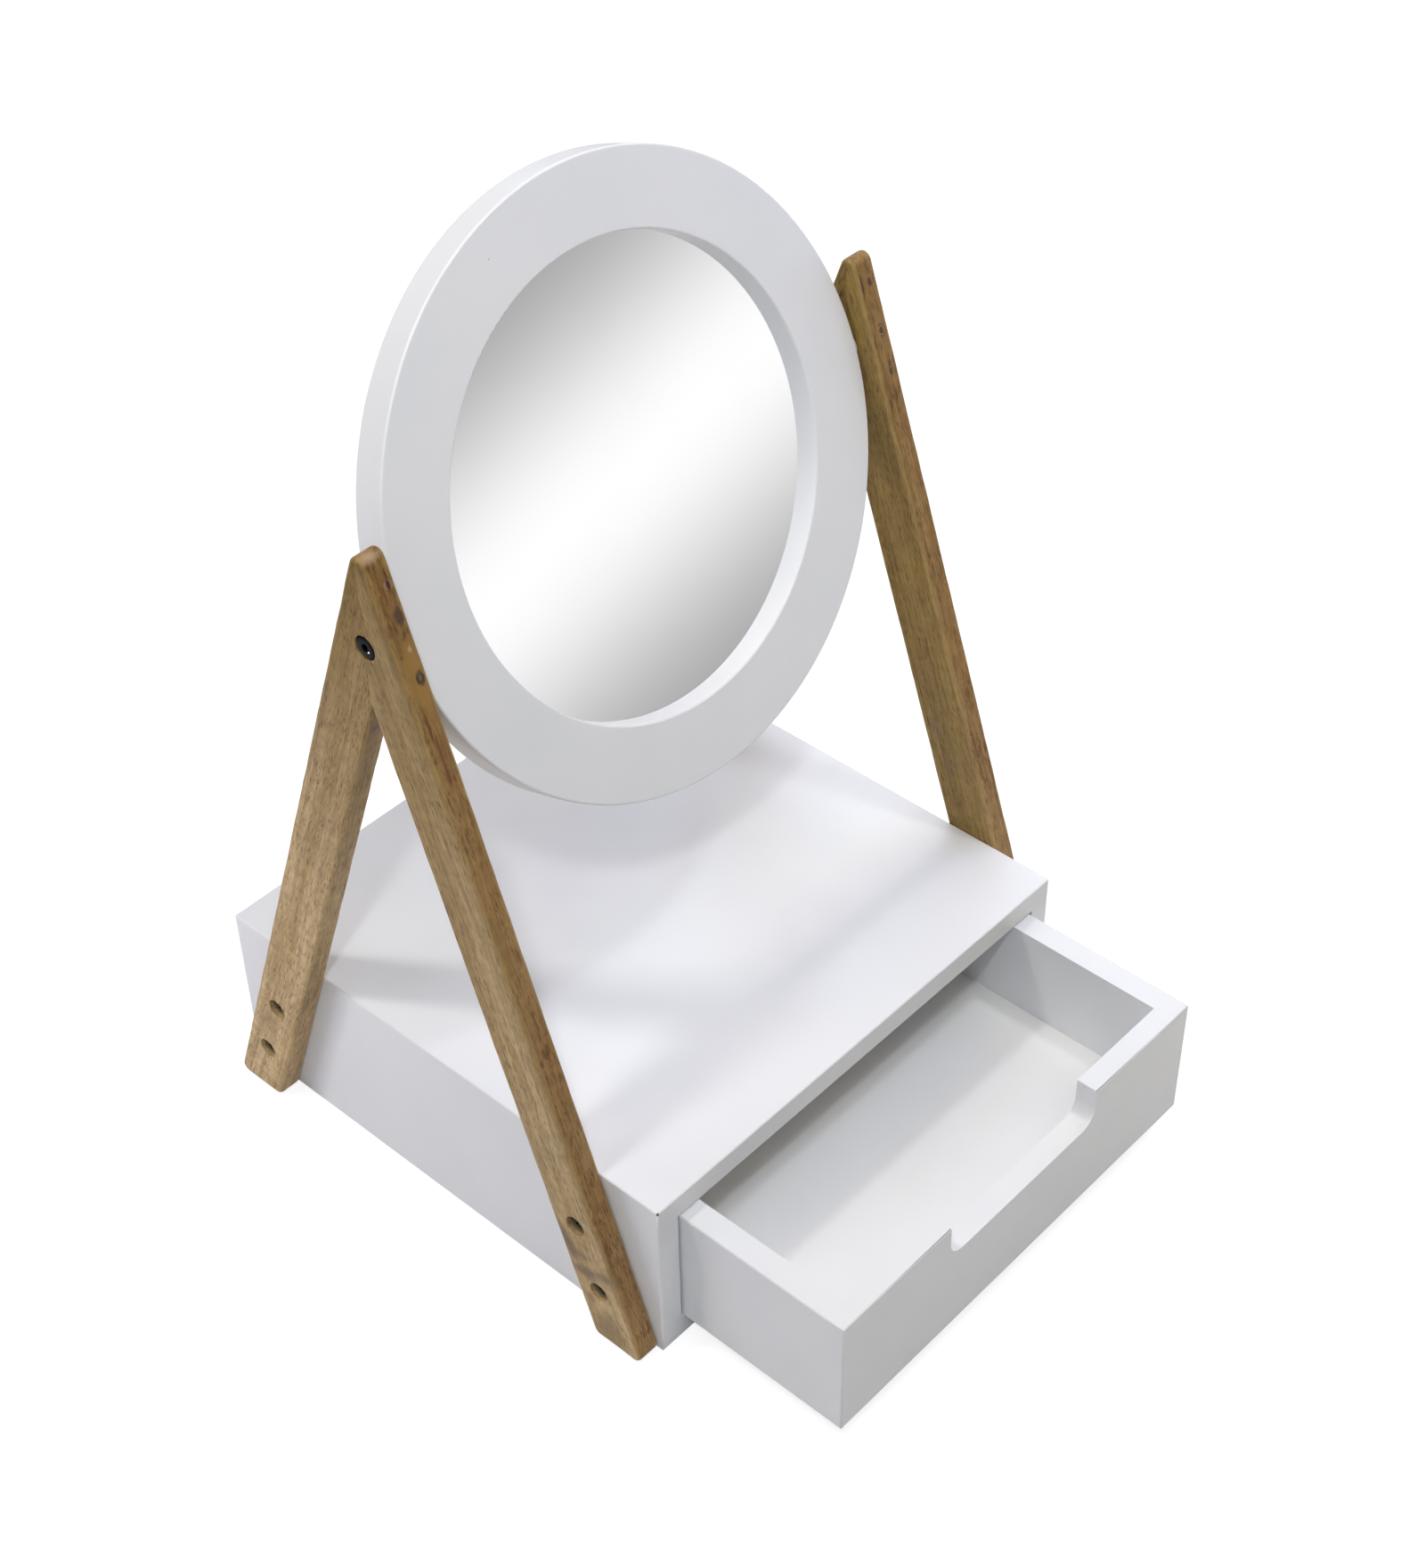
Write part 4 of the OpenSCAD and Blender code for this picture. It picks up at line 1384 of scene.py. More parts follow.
@dataclass
class AFrame:
    """One A-frame: two leaning legs mitred under a flat top, their dowels and the screws in their counterbores."""

    side: Side
    pivot: Pivot
    dowel_in: float = 4.0
    dowel_rises: tuple[float, ...] = (32.5, 18.5, -9.5)
    dowel_d: float = 4.6
    dowel_cover: float = 3.0
    inner_x: float = 150.0
    screw: Screw = Screw(11.0, 4.0, 4.0, 17.0)
    screw_heights: Pair = (34.0, 73.0)
    counterbore_d: float = 11.5
    counterbore_depth: float = 7.0
    slack: float = 0.1
    unevenness: float = 0.22
    ease_steps: int = 5
    lip: float = 2.25
    clear: float = 20.0

    def leg_mesh(self, shape: LegShape) -> Mesh:
        """A leg with hand-eased edges, before it is bored.

        Args:
            shape: the leg's outline and sizes.

        Returns:
            The closed mesh.
        """
        outline = shape.outline()
        pairs = [(outline[i - 1][0], p) for i, (p, _) in enumerate(outline)]
        turn = 1.0 if sum(a.x * b.y - b.x * a.y for a, b in pairs) > 0 else -1.0
        inward, radii = [], []
        for i, (p, share) in enumerate(outline):
            (last, last_share), (following, _) = outline[i - 1], outline[(i + 1) % len(outline)]
            before, after = (p - last).normalized(), (following - p).normalized()
            n1, n2 = (Vector((-way.y, way.x)) * turn for way in (before, after))
            if share == 1.0:
                inward.append((n1 + n2) / (1.0 + n1.dot(n2)))
            else:
                free, seam = (n1, after) if last_share == 1.0 else (n2, -before)
                inward.append(seam / free.dot(seam))
            rough = noise.noise(Vector((p.x * 0.09, p.y * 0.09, 7.3 * self.side.value + 3.1 * shape.end.value)))
            radii.append(shape.edge_r * (1.0 + self.unevenness * rough))
        angles = [k / self.ease_steps * math.pi / 2 for k in range(self.ease_steps + 1)]
        rings = []
        for angle, inner in [*((a, True) for a in angles), *((a, False) for a in reversed(angles))]:
            ring = []
            for (p, _), away, radius in zip(outline, inward, radii):
                q, drop = p + away * radius * (1.0 - math.sin(angle)), radius * (1.0 - math.cos(angle))
                x = self.inner_x + (drop if inner else shape.thick - drop)
                ring.append(Vector((self.side.value * x, q.x, q.y)))
            rings.append(ring)
        return loft(rings, capped=True)

    def bores(self, shape: LegShape) -> list[Mesh]:
        """What is bored out of a leg: the counterbores, the bolt's hole and recess, and the dowels' holes.

        Args:
            shape: the leg's outline and sizes.

        Returns:
            One closed mesh for each bore.
        """
        p, outer, inward = self.pivot, self.inner_x + shape.thick, Vector((-self.side.value, 0, 0))
        wide, narrow, deep = self.counterbore_d / 2, self.screw.shank_d / 2 + self.slack, self.counterbore_depth
        stepped = [(wide + self.lip, -2.0), (wide, 0.25), (wide, deep), (narrow, deep), (narrow, self.clear)]
        seats = [(self.side.value * outer, shape.middle_y(height), height) for height in self.screw_heights]
        made = [turned(stepped, seat, inward) for seat in seats]
        head, shank, seat = p.head_d / 2 + p.head_gap, p.bolt_d / 2 + 0.06, p.sunk + p.head_t + p.head_gap
        stepped = [(head + 2.2, -2.0), (head, 0.2), (head, seat), (shank, seat), (shank, self.clear)]
        made.append(turned(stepped, p.centre(self.side, outer), inward))
        r = self.dowel_d / 2 + self.slack
        for x, _, height in self.dowel_places():
            start = FRONT_LEG.outer_y(height) - self.dowel_d
            length = REAR_LEG.outer_y(height) - self.dowel_cover - start
            made.append(turned([(r, 0.0), (r, length)], (x, start, height), Vector((0, 1, 0)), 32))
        return made

    def dowel_places(self) -> list[Point]:
        """Where the dowels' axes cross the middle, in millimetres."""
        x = self.side.value * (self.inner_x + self.dowel_in)
        return [(x, 0.0, self.pivot.height + rise) for rise in self.dowel_rises]

    def grained(self, mesh: Mesh, shape: LegShape) -> None:
        """Stores what a leg's finish reads: the grain space, the edge-grain faces, the arrises and a tint that partly
        paints shade.

        Args:
            mesh: the bored leg.
            shape: its outline and sizes.
        """
        start = shape.to_grain(self.side, (0.0, shape.foot_y, 0.0))[0]
        kept: dict[str, list[float]] = {name: [] for name in ("grain", "edge_grain", "arris", "warmth")}
        for vert in mesh.vertices:
            place = tuple(v / MM for v in vert.co)
            at = shape.to_grain(self.side, place)
            across = (at[0] - start) / MM
            in_line = min(across, shape.wide - across, place[2], shape.height - place[2])
            in_depth = min(abs(place[0]) - self.inner_x, self.inner_x + shape.thick - abs(place[0]))
            share = share_of(0.5 + 0.5 * (in_depth - in_line) / shape.edge_r)
            outside = across < shape.wide / 2 or place[2] > shape.height - shape.edge_r
            edge = share if outside else 0.3 * share
            # The tint table gives the timber's own tone and, on the narrow faces and the right legs, painted shade.
            face_warmth_and_shade, edge_warmth_and_shade = (share_of(place[2], *ends) for ends in WARMTH_AND_SHADE[self.side, shape.end])
            kept["grain"].extend(at)
            kept["edge_grain"].append(edge)
            kept["arris"].append(4 * share * (1 - share))
            kept["warmth"].append(face_warmth_and_shade + (edge_warmth_and_shade - face_warmth_and_shade) * edge)
        for name, values in kept.items():
            stored(mesh, name, values)

    def build(self, timber: Material, plug: Material, steel: Material) -> None:
        """Makes and dresses the legs, dowels and screws.

        Args:
            timber: the legs' finish.
            plug: the dowels' finish.
            steel: the screws' finish.
        """
        word, seats = self.side.word, []
        for shape in LEGS:
            mesh = smoothed(cut(self.leg_mesh(shape), self.bores(shape)), 35.0)
            self.grained(mesh, shape)
            settle(f"{word}_{shape.end.word}_leg", "eased", mesh, Body.FRAME, "leg_timber", timber)
            x = self.side.value * (self.inner_x + shape.thick - self.counterbore_depth)
            seats += [(x, shape.middle_y(height), height) for height in self.screw_heights]
        heading = (0.0, self.side.value * math.pi / 2, 0.0)
        screws = self.screw.driven(seats, heading, 11 + self.side.value, steel)
        settle(f"{word}_leg_screws", "driven", screws, Body.FRAME, "dark_screws")
        sizes = metres(Radius=self.dowel_d / 2, Cover=self.dowel_cover)
        for name, leg in {"Front": FRONT_LEG, "Rear": REAR_LEG}.items():
            sizes |= {f"{name} lean": leg.lean, f"{name} foot": leg.foot_y * MM}
        dowels = grown("planed_dowels", dowel_shape, sizes, plug, self.dowel_places())
        stored(dowels, "grain", [v for vert in dowels.vertices for v in vert.co])
        settle(f"{word}_mitre_dowels", "planed", dowels, Body.FRAME, "dowel_timber")


@dataclass
class TiltingMirror:
    """The round frame, the glass in its rebate, the backing board, and the turn clips with their screws."""

    pivot: Pivot
    outer_r: float = 148.8
    hole_r: float = 111.8
    thick: float = 18.0
    edge_r: float = 1.2
    rebate_r: float = 116.8
    glass_depth: float = 13.0
    disc_r: float = 116.4
    glass_t: float = 3.0
    backing_t: float = 2.0
    lean: float = math.radians(19.3)
    clip_count: int = 4
    clip_len: float = 20.0
    clip_w: float = 9.0
    clip_t: float = 1.0
    clip_pivot_r: float = 122.3
    screw: Screw = Screw(5.5, 1.6, 2.6, 10.0, 0.9)
    paint: Paint = Paint(roughness=0.33)
    silver: Silvering = Silvering()
    board: FibreBoard = FibreBoard()
    zinc: Metal = Metal((0.62, 0.61, 0.58), (0.45, 0.44, 0.41))

    @property
    def middle(self) -> Vector:
        """The mirror's centre in millimetres."""
        return Vector(self.pivot.centre(Side.LEFT, 0.0))

    @property
    def front(self) -> Vector:
        """The direction that the mirror faces."""
        return Vector((0.0, -math.cos(self.lean), math.sin(self.lean)))

    @property
    def stance(self) -> dict[str, object]:
        """The mirror's lean and place, as a tree's inputs."""
        return {"Lean": self.lean, "Place": scaled(self.pivot.centre(Side.LEFT, 0.0))}

    def disc(self, depth: float, thick: float, ease: float) -> Mesh:
        """A disc in the rebate.

        Args:
            depth: how far its face lies behind the frame's front.
            thick: its thickness.
            ease: the bevel of its edges.

        Returns:
            The mesh.
        """
        r, start = self.disc_r, self.middle + self.front * (self.thick / 2 - depth)
        profile = [(r * 0.5, 0.0), (r - ease, 0.0), (r, ease), (r, thick - ease), (r - ease, thick)]
        return smoothed(turned(profile, tuple(start), -self.front, 192))

    def round_frame(self) -> None:
        """Grows the round frame from its geometry tree."""
        p = self.pivot
        sizes = metres(
            Outer_radius=self.outer_r, Hole_radius=self.hole_r, Rebate_radius=self.rebate_r, Edge_radius=self.edge_r,
            Thickness=self.thick, Glass_depth=self.glass_depth, Bore_radius=p.insert_d / 2 + p.thread_clear,
            Bore_length=self.outer_r - p.insert_to,
        )
        sizes |= {"Steps round": 256, "Steps in rounding": 6, **self.stance}
        mesh = grown("round_frame", ring_shape, sizes, self.paint.material("frame_lacquer"))
        settle("mirror_frame", "turned", mesh, Body.MIRROR, "white_paint").visible_glossy = False

    def clips(self) -> None:
        """Grows the turn clips and their screws."""
        zinc = self.zinc.material("zinc_plate")
        sizes = metres(
            Pivot_radius=self.clip_pivot_r, Length=self.clip_len, Width=self.clip_w, Thickness=self.clip_t,
            Hole_radius=self.screw.shank_d / 2 + 0.1, Depth=self.thick / 2,
        )
        clips = grown("turn_clips", clip_shape, {**sizes, "Count": self.clip_count, **self.stance}, zinc)
        settle("backing_clips", "pressed", clips, Body.MIRROR, "plated_steel")
        start = self.middle - self.front * (self.thick / 2 + self.clip_t)
        right, up = Vector((1, 0, 0)), Vector((0.0, math.sin(self.lean), math.cos(self.lean)))
        turns = [math.tau * (i + 0.5) / self.clip_count for i in range(self.clip_count)]
        seats = [start + (right * math.cos(a) + up * math.sin(a)) * self.clip_pivot_r for a in turns]
        screws = self.screw.driven(seats, (-math.pi / 2 - self.lean, 0.0, 0.0), 23, zinc)
        settle("clip_screws", "driven", screws, Body.MIRROR, "plated_steel")

    def build(self) -> None:
        """Makes and dresses the mirror's pieces."""
        self.round_frame()
        silver, board = self.silver.material("silvered_glass"), self.board.material("fibre_board")
        glass, back = self.disc(self.glass_depth, self.glass_t, 0.35), self.glass_depth + self.glass_t
        settle("mirror_glass", "polished", glass, Body.MIRROR, "silvered_glass", silver)
        settle("mirror_backing", "sawn", self.disc(back, self.backing_t, 0.15), Body.MIRROR, "hardboard", board)
        self.clips()


# Studio


@dataclass(frozen=True)
class Lamp:
    """A soft square lamp that points at the object, with its angles in degrees, its metres and its watts."""

    name: str
    azimuth: float
    elevation: float
    distance: float
    size: float
    power: float
    colour: Colour

    def hang(self, aim: Vector) -> None:
        """Hangs the lamp so that it points at a place.

        Args:
            aim: the place, in metres.
        """
        a, e = math.radians(self.azimuth), math.radians(self.elevation)
        away = Vector((math.sin(a) * math.cos(e), -math.cos(a) * math.cos(e), math.sin(e)))
        data = bpy.data.lights.new(self.name, "AREA")
        data.shape, data.size, data.energy, data.color = "SQUARE", self.size, self.power, self.colour
        light = linked(self.name, data)
        light.location = aim + away * self.distance
        light.rotation_mode = "QUATERNION"
        light.rotation_quaternion = away.to_track_quat("Z", "Y")
        light.visible_camera, light.visible_glossy = False, self.distance > 1.0
        LOG.info("lamp %s: %.1f W", self.name, self.power)


@dataclass
class Studio:
    """The pale floor, the soft lamps, the strip that shows in the mirror, and the camera."""

    mirror: TiltingMirror
    yaw: float = 0.82175
    pitch: float = 0.72233
    roll: float = 0.01934
    eye: Point = (-715.56, -715.88, 1071.61)
    focal_px: float = 3020.43
    frame_px: tuple[int, int] = (1600, 1760)
    film: float = 36.0
    aim: Point = (0.0, 0.0, 0.2)
    floor_half: float = 6.0
    floor_drop: float = 0.0002
    surround: float = 0.0
    surround_in_gloss: float = 0.5
    surround_tint: Colour = (0.96, 0.97, 1.0)
    lamps: tuple[Lamp, ...] = (
        Lamp("left_key", 310.0, 50.3, 1.8, 0.1, 7.16, (0.937, 0.966, 1.0)),
        Lamp("right_key", 34.2, 65.4, 1.8, 0.15, 4.95, (0.851, 0.908, 1.0)),
        Lamp("back_key", 240.4, 58.8, 1.8, 0.18, 8.09, (1.0, 0.996, 0.961)),
        Lamp("top_fill", 0.0, 90.0, 1.8, 1.2, 4.09, (1.0, 0.856, 0.793)),
        Lamp("front_fill", 0.0, 60.0, 1.8, 1.0, 6.26, (1.0, 0.908, 0.771)),
        Lamp("front_left_fill", 315.0, 60.0, 1.8, 1.0, 4.57, (0.795, 0.897, 1.0)),
        Lamp("right_back_fill", 135.0, 35.0, 1.8, 1.0, 10.16, (0.801, 0.856, 1.0)),
        Lamp("near_left_back", 230.0, 5.0, 0.75, 0.3, 1.45, (0.934, 0.897, 1.0)),
        Lamp("near_right", 80.0, 10.0, 0.6, 0.3, 0.97, (0.6, 0.724, 1.0)),
        Lamp("near_right_front", 45.0, 10.0, 0.7, 0.3, 0.31, (1.0, 0.787, 0.026)),
        Lamp("near_right_high", 60.0, 35.0, 0.75, 0.3, 0.54, (0.278, 0.403, 1.0)),
        Lamp("near_right_side", 100.0, 35.0, 0.75, 0.3, 0.40, (1.0, 0.707, 0.0)),
    )
    strip_middle: Pair = (700.0, 535.0)
    strip_slope: float = 46.0
    strip_width: float = 300.0
    strip_fall: float = 0.37
    strip_depth: float = 2.05
    strip_columns: tuple[int, ...] = (40, 440, 970, 1370)
    strip_rows: tuple[int, ...] = (-210, 190, 880, 1280)

    def axes(self) -> tuple[Vector, Vector, Vector]:
        """Works out how the camera stands.

        Returns:
            Its right, down and forward directions.
        """
        flat, turn = math.cos(self.pitch), (math.sin(self.yaw), math.cos(self.yaw))
        forward = Vector((turn[0] * flat, turn[1] * flat, -math.sin(self.pitch)))
        right = Vector((turn[1], -turn[0], 0.0))
        down = forward.cross(right)
        c, s = math.cos(self.roll), math.sin(self.roll)
        return right * c + down * s, down * c - right * s, forward

    def camera(self) -> None:
        """Sets the camera at the photograph's viewing angle."""
        right, down, forward = self.axes()
        data = bpy.data.cameras.new("camera")
        data.sensor_width, data.lens = self.film, self.focal_px * self.film / max(self.frame_px)
        data.clip_start, data.clip_end = 0.05, 60.0
        data.dof.use_dof = False
        camera = linked("camera", data)
        place = Matrix((right, -down, -forward)).transposed().to_4x4()
        place.translation = Vector(self.eye) * MM
        camera.matrix_world = place
        bpy.context.scene.camera = camera

    def floor(self) -> None:
        """Lays a pale floor that the camera sees as near white, with faint contact shadows."""
        material, tree, at = blank("pale_floor")
        tone = tree.mix(tree.noise(at, 3.0), (0.80, 0.80, 0.81), (0.82, 0.82, 0.83))
        bounce = tree.get("BsdfDiffuse", {"Color": tone})
        glow = tree.ramp(tree.vector("LENGTH", at, output=1), 0.4, 1.6, 0.82, 1.1)
        shadowed = tree.get("BsdfDiffuse", {"Color": (0.30, 0.30, 0.30)})
        seen = tree.get("AddShader", {0: shadowed, 1: tree.get("Emission", {"Color": WHITE, "Strength": glow})})
        ray = tree.add("LightPath").outputs["Is Camera Ray"]
        tree.add("OutputMaterial", {0: tree.get("MixShader", {0: ray, 1: bounce, 2: seen})})
        mesh, half = bpy.data.meshes.new("floor"), self.floor_half
        mesh.from_pydata([(-half, -half, 0), (half, -half, 0), (half, half, 0), (-half, half, 0)], [], [(0, 1, 2, 3)])
        mesh.materials.append(material)
        floor = linked("floor", mesh)
        floor.location.z = -self.floor_drop

    def surroundings(self) -> None:
        """Sets the pale room light, which the camera sees as white."""
        world = bpy.data.worlds.new("surroundings")
        world.use_nodes = True
        tree = Tree(world.node_tree)
        ray = tree.add("LightPath").outputs
        level = tree.line(ray["Is Glossy Ray"], self.surround_in_gloss, self.surround)
        soft = tree.get("Background", {"Color": self.surround_tint, "Strength": level})
        white = tree.get("Background", {"Color": WHITE, "Strength": 1.05})
        tree.add("OutputWorld", {0: tree.get("MixShader", {0: ray["Is Camera Ray"], 1: soft, 2: white})})
        bpy.context.scene.world = world

    def strip(self) -> None:
        """Hangs the soft strip that the camera sees in the mirror, square to the mirrored line of sight.

        Its outer margin fades into the surroundings, so that no edge of it shows in the mirror from elsewhere.
        """
        mirror, normal = self.mirror, self.mirror.front
        base = (mirror.middle + normal * (mirror.thick / 2 - mirror.glass_depth)) * MM
        seen = (Vector(self.eye) * MM - base, *self.axes())
        eye, right, down, forward = (v - normal * 2.0 * v.dot(normal) for v in seen)
        scale = self.strip_depth / self.focal_px
        half = (right * self.frame_px[0] + down * self.frame_px[1]) * scale / 2
        corner = base + eye + forward * self.strip_depth - half
        places = [corner + (right * x + down * y) * scale for y in self.strip_rows for x in self.strip_columns]
        middle = corner + (right * self.strip_middle[0] + down * self.strip_middle[1]) * scale
        a = math.radians(self.strip_slope)
        across = (right * math.cos(a) + down * math.sin(a)) / (self.strip_width * scale)
        material, tree, _ = blank("soft_strip")
        away = tree.vector("SUBTRACT", tree.get("NewGeometry"), tuple(middle))
        wave = tree.math("COSINE", tree.times(tree.vector("DOT_PRODUCT", away, tuple(across), 1), math.pi))
        shown = tree.less(1.0, tree.times(tree.less(1.0, wave), self.strip_fall / 2))
        level = tree.times(tree.math("POWER", shown, 2.2), 1.07)
        glow = tree.get("Emission", {"Color": WHITE, "Strength": level})
        room = tree.get("Emission", {"Color": self.surround_tint, "Strength": self.surround_in_gloss})
        inside = tree.ramp(tree.attribute("inside"), 0.0, 0.98)
        tree.add("OutputMaterial", {0: tree.get("MixShader", {0: inside, 1: room, 2: glow})})
        mesh = bpy.data.meshes.new("soft_strip")
        mesh.from_pydata(places, [], [(k, k + 1, k + 5, k + 4) for k in (0, 1, 2, 4, 5, 6, 8, 9, 10)])
        stored(mesh, "inside", [float(k in (5, 6, 9, 10)) for k in range(16)])
        mesh.materials.append(material)
        strip = linked("soft_strip", mesh)
        strip.visible_camera = strip.visible_diffuse = strip.visible_shadow = strip.visible_transmission = False

    def build(self) -> None:
        """Sets up the whole studio."""
        view = bpy.context.scene.view_settings
        view.view_transform, view.look = "Standard", "None"
        self.floor()
        self.surroundings()
        for lamp in self.lamps:
            lamp.hang(Vector(self.aim))
        self.strip()
        self.camera()


# The legs' marks, each as a place, three half-widths, a colour, a strength, a softness and a raggedness

GREY_KNOT = (0.165, 0.112, 0.082)
RED_STREAK = (0.15, 0.057, 0.022)
BROWN_CLOUD = (0.165, 0.098, 0.062)
TIMBER_MARKS = {
    (Side.LEFT, End.FRONT): (
        (-163.5, -97.6, 63.8, 4.5, 12.2, 3.0, *GREY_KNOT, 0.45, 0.8, 0.9),
        (-163.5, -101.5, 60.3, 4.9, 10.2, 3.0, *GREY_KNOT, 0.54, 0.8, 0.9),
        (-163.5, -104.1, 54.4, 5.9, 9.1, 3.0, *GREY_KNOT, 0.54, 0.8, 0.9),
        (-163.5, -108.8, 53.6, 9.9, 5.2, 3.0, *GREY_KNOT, 0.54, 0.8, 0.9),
        (-163.5, -107.4, 41.7, 7.4, 4.5, 3.0, *GREY_KNOT, 0.50, 0.8, 0.9),
        (-163.5, -113.0, 44.3, 9.9, 4.9, 3.0, *GREY_KNOT, 0.59, 0.8, 0.9),
        (-163.5, -116.4, 42.4, 8.8, 6.1, 3.0, *GREY_KNOT, 0.59, 0.8, 0.9),
        (-163.5, -123.9, 48.0, 11.0, 4.9, 3.0, *GREY_KNOT, 0.54, 0.8, 0.9),
        (-163.5, -128.6, 47.9, 4.9, 8.1, 3.0, *GREY_KNOT, 0.45, 0.8, 0.9),
        (-163.5, -116.0, 26.4, 4.5, 4.4, 3.0, 0.25, 0.15, 0.13, 0.6, 0.8, 0.8),
        (-163.5, -122.1, 67.9, 5.0, 9.0, 3.0, 0.44, 0.30, 0.20, 0.35, 0.8, 1.0),
        (-163.5, -8.3, 363.4, 0.9, 1.3, 2.0, 0.46, 0.41, 0.27, 0.85, 0.5, 0.6),
        (-155.6, -26.8, 359.8, 4.0, 21.0, 6.0, 0.33, 0.18, 0.045, 0.75, 0.4, 0.5),
        (-159.6, -23.2, 370.4, 1.0, 0.9, 0.8, 0.09, 0.05, 0.02, 0.8, 0.5, 0.6),
        (-158.2, -34.4, 337.3, 2.5, 9.0, 0.9, *RED_STREAK, 0.95, 0.5, 0.7),
        (-156.7, -38.1, 326.4, 2.5, 11.0, 1.1, *RED_STREAK, 0.9, 0.5, 0.8),
        (-156.7, -41.8, 315.5, 2.5, 10.0, 1.0, *RED_STREAK, 0.9, 0.5, 0.8),
        (-153.8, -38.3, 325.7, 3.0, 15.0, 5.0, 0.24, 0.12, 0.045, 0.45, 0.8, 1.0),
        (-156.1, -14.7, 395.4, 3.0, 11.0, 4.5, 0.25, 0.125, 0.045, 0.5, 0.8, 1.2),
        (-157.2, -14.2, 396.9, 2.0, 7.0, 0.7, *RED_STREAK, 0.8, 0.6, 0.9),
        (-158.7, -112.3, 107.5, 1.5, 4.5, 0.5, 0.08, 0.045, 0.028, 0.8, 0.6, 0.5),
        (-154.2, -113.1, 105.4, 1.5, 4.0, 0.5, 0.08, 0.045, 0.028, 0.75, 0.6, 0.5),
        (-151.7, -116.4, 95.5, 1.5, 6.0, 0.6, 0.19, 0.065, 0.025, 0.75, 0.6, 0.5),
        (-162.1, -120.1, 84.7, 1.6, 3.6, 0.9, *RED_STREAK, 0.85, 0.5, 0.6),
        (-162.4, -122.3, 78.2, 1.6, 2.0, 1.3, 0.27, 0.12, 0.035, 0.7, 0.5, 0.6),
        (-156.5, -118.9, 88.3, 3.0, 3.5, 2.5, *BROWN_CLOUD, 0.4, 0.9, 1.2),
        (-156.7, -128.6, 59.6, 3.0, 5.0, 3.0, *BROWN_CLOUD, 0.4, 0.9, 1.2),
        (-159.7, -132.6, 47.7, 3.0, 5.0, 3.0, *BROWN_CLOUD, 0.4, 0.9, 1.2),
        (-154.3, -22.6, 371.9, 1.2, 2.3, 1.3, 0.46, 0.39, 0.29, 0.65, 0.8, 1.2),
        (-163.5, -128.0, 10.0, 16.0, 20.0, 5.0, 0.23, 0.16, 0.08, 0.7, 0.9, 0.8),
        (-158.0, -9.5, 415.0, 9.0, 5.0, 7.0, 0.44, 0.31, 0.19, 0.75, 0.8),
        (-154.0, -12.9, 400.5, 3.0, 4.2, 1.5, 0.10, 0.045, 0.022, 0.8, 0.5, 0.9),
        (-154.0, -17.7, 386.5, 2.8, 5.2, 2.9, 0.09, 0.055, 0.032, 0.85, 0.4, 0.7),
        (-154.0, -27.2, 358.5, 3.0, 4.6, 2.6, 0.08, 0.052, 0.028, 0.8, 0.4, 0.6),
    ),
    (Side.LEFT, End.REAR): (
        (-158.1, 2.1, 317.4, 2.5, 3.5, 3.0, 0.14, 0.085, 0.075, 0.65, 0.7, 0.9),
        (-163.5, 114.0, 60.0, 9.0, 16.0, 5.0, 0.22, 0.14, 0.07, 0.45, 0.9, 1.2),
        (-158.0, 1.0, 415.0, 9.0, 5.0, 7.0, 0.44, 0.31, 0.19, 0.75, 0.8),
    ),
    (Side.RIGHT, End.FRONT): (
        (152.5, -12.0, 402.7, 0.9, 7.0, 1.2, 0.06, 0.036, 0.02, 0.85, 0.6, 0.8),
        (158.0, -19.6, 379.0, 2.8, 4.4, 2.4, 0.10, 0.06, 0.035, 0.75, 0.4, 0.9),
        (158.0, -26.4, 359.0, 2.6, 4.0, 2.4, 0.12, 0.08, 0.05, 0.7, 0.5, 0.9),
        (158.4, -25.7, 362.9, 1.2, 2.2, 1.2, 0.06, 0.045, 0.035, 0.85, 0.5),
        (150.0, -79.0, 141.5, 6.0, 13.0, 3.0, 0.20, 0.115, 0.065, 0.4, 0.9, 1.3),
        (150.0, -85.1, 118.6, 3.5, 7.0, 3.0, 0.22, 0.10, 0.05, 0.5, 0.8, 1.0),
        (150.0, -70.7, 163.2, 4.0, 9.0, 3.0, 0.25, 0.165, 0.125, 0.45, 0.9, 1.2),
    ),
    (Side.RIGHT, End.REAR): (),
}
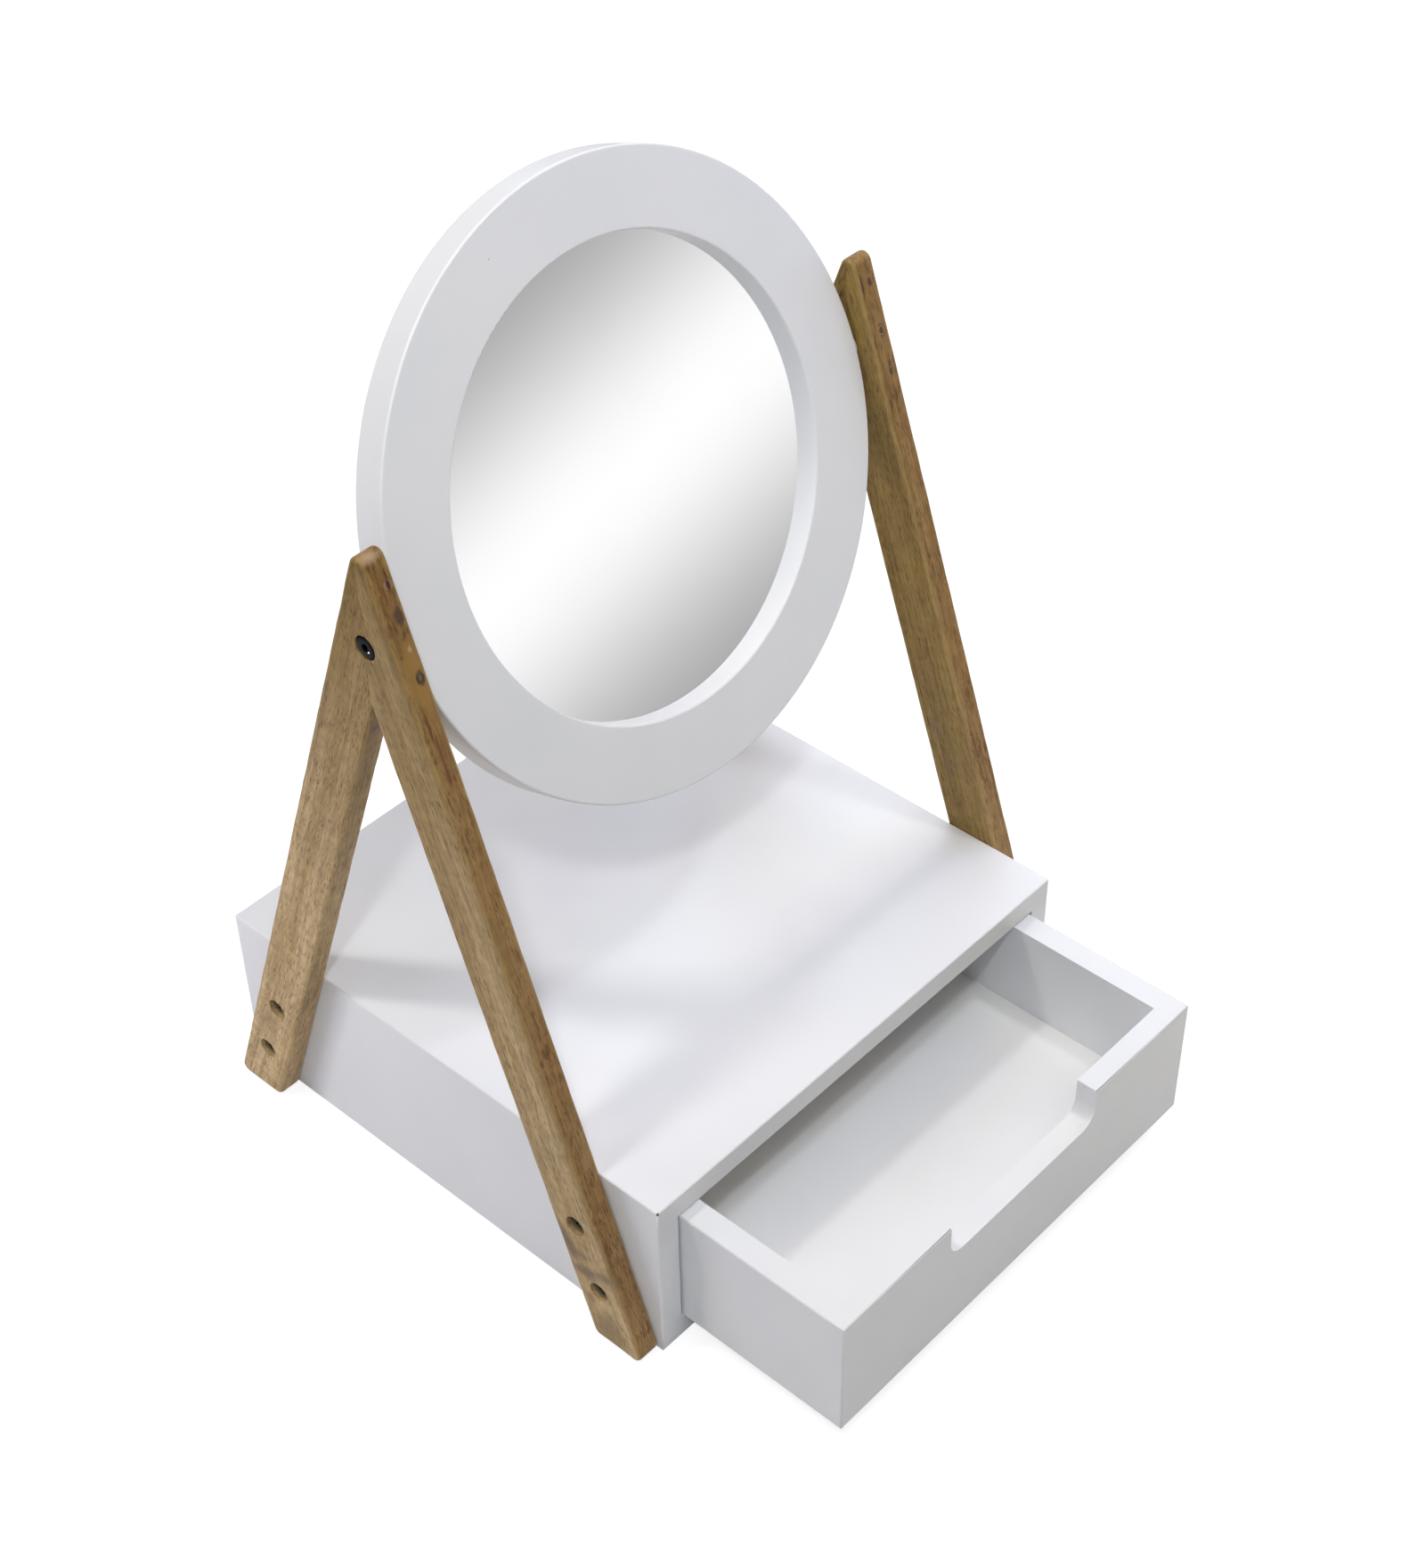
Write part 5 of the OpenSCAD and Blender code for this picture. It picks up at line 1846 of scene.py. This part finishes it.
# The heights between which each leg's face and its edge turn from the pale tint to the darker, redder one: partly the
# timber's own tone, partly painted shade on the narrow faces and on the right legs
WARMTH_AND_SHADE = {
    (Side.LEFT, End.FRONT): ((31.0, 480.0), (-325.0, 675.0)),
    (Side.LEFT, End.REAR): ((200.0, 400.0), (-325.0, 675.0)),
    (Side.RIGHT, End.FRONT): ((-2000.0, 500.0), (-154.0, 631.0)),
    (Side.RIGHT, End.REAR): ((-2000.0, 500.0), (-154.0, 631.0)),
}
PLUG_MARKS = (
    (-154.0, -12.9, 400.5, 1.3, 3.0, 2.8, 0.050, 0.020, 0.012, 0.95, 0.4, 0.7),
    (-154.0, -17.7, 386.5, 2.6, 3.0, 3.6, 0.075, 0.046, 0.026, 0.9, 0.35, 0.5),
    (-154.0, -27.2, 358.5, 2.7, 3.0, 2.9, 0.060, 0.038, 0.019, 0.9, 0.3, 0.5),
    (-154.0, -27.2, 358.8, 1.2, 3.0, 2.1, 0.165, 0.125, 0.062, 0.85, 0.6, 0.8),
    (158.0, -11.2, 402.5, 1.7, 3.0, 2.6, 0.060, 0.032, 0.018, 0.85, 0.4, 0.8),
    (158.0, -19.6, 379.0, 1.8, 3.0, 2.2, 0.070, 0.040, 0.022, 0.9, 0.4, 0.8),
    (158.0, -26.4, 359.0, 1.7, 3.0, 2.4, 0.060, 0.038, 0.022, 0.85, 0.45, 0.8),
)
# Painted shade: a dark patch laid over the inside of each counterbore, where the recess is in shade.
BORE_SHADE_X = 158.2
BORE_SHADE = (7.5, 7.5, 5.0, 0.15, 0.11, 0.065, 0.6, 0.1, 0.0)


def marked(row: Sequence[float]) -> Mark:
    """A mark from a row of the tables."""
    return Mark(row[:3], row[3:6], row[6:9], *row[9:])


def timber_finish() -> Timber:
    """The legs' timber, with every leg's own knots and patches and painted shade inside its counterbores.

    Returns:
        The finish.
    """
    marks, places = [], []
    for (side, end), rows in TIMBER_MARKS.items():
        leg = LegShape(end)
        own = [marked(row) for row in rows]
        # Each counterbore also gets the painted shade patch.
        for height in AFrame.screw_heights:
            own.append(marked((BORE_SHADE_X, leg.middle_y(height), height, *BORE_SHADE)))
        marks += own
        places += [leg.to_grain(side, mark.place) for mark in own]
    return Timber(marks_on_it=tuple(marks), places=tuple(places))


def main() -> None:
    """Builds the part and its studio."""
    logging.basicConfig(level=logging.INFO, format="%(message)s")
    pivot = Pivot()
    timber = timber_finish().material("leg_timber")
    spots = tuple(marked(row) for row in PLUG_MARKS)
    plug = Timber(pale=(0.24, 0.145, 0.06), mid=(0.20, 0.115, 0.045), marks_on_it=spots, places=(None,) * len(spots))
    plug = plug.material("dowel_timber")
    steel = Metal((0.03, 0.029, 0.027), (0.05, 0.045, 0.036), 0.42, 0.006, 0.5, 1.35).material("dark_steel")
    BoxCarcass().build()
    Drawer().build()
    AFrame(Side.LEFT, pivot).build(timber, plug, steel)
    AFrame(Side.RIGHT, pivot, 8.0, (34.5, 11.0, -9.0)).build(timber, plug, steel)
    pivot.build()
    mirror = TiltingMirror(pivot)
    mirror.build()
    Studio(mirror).build()


if __name__ == "__main__":
    main()
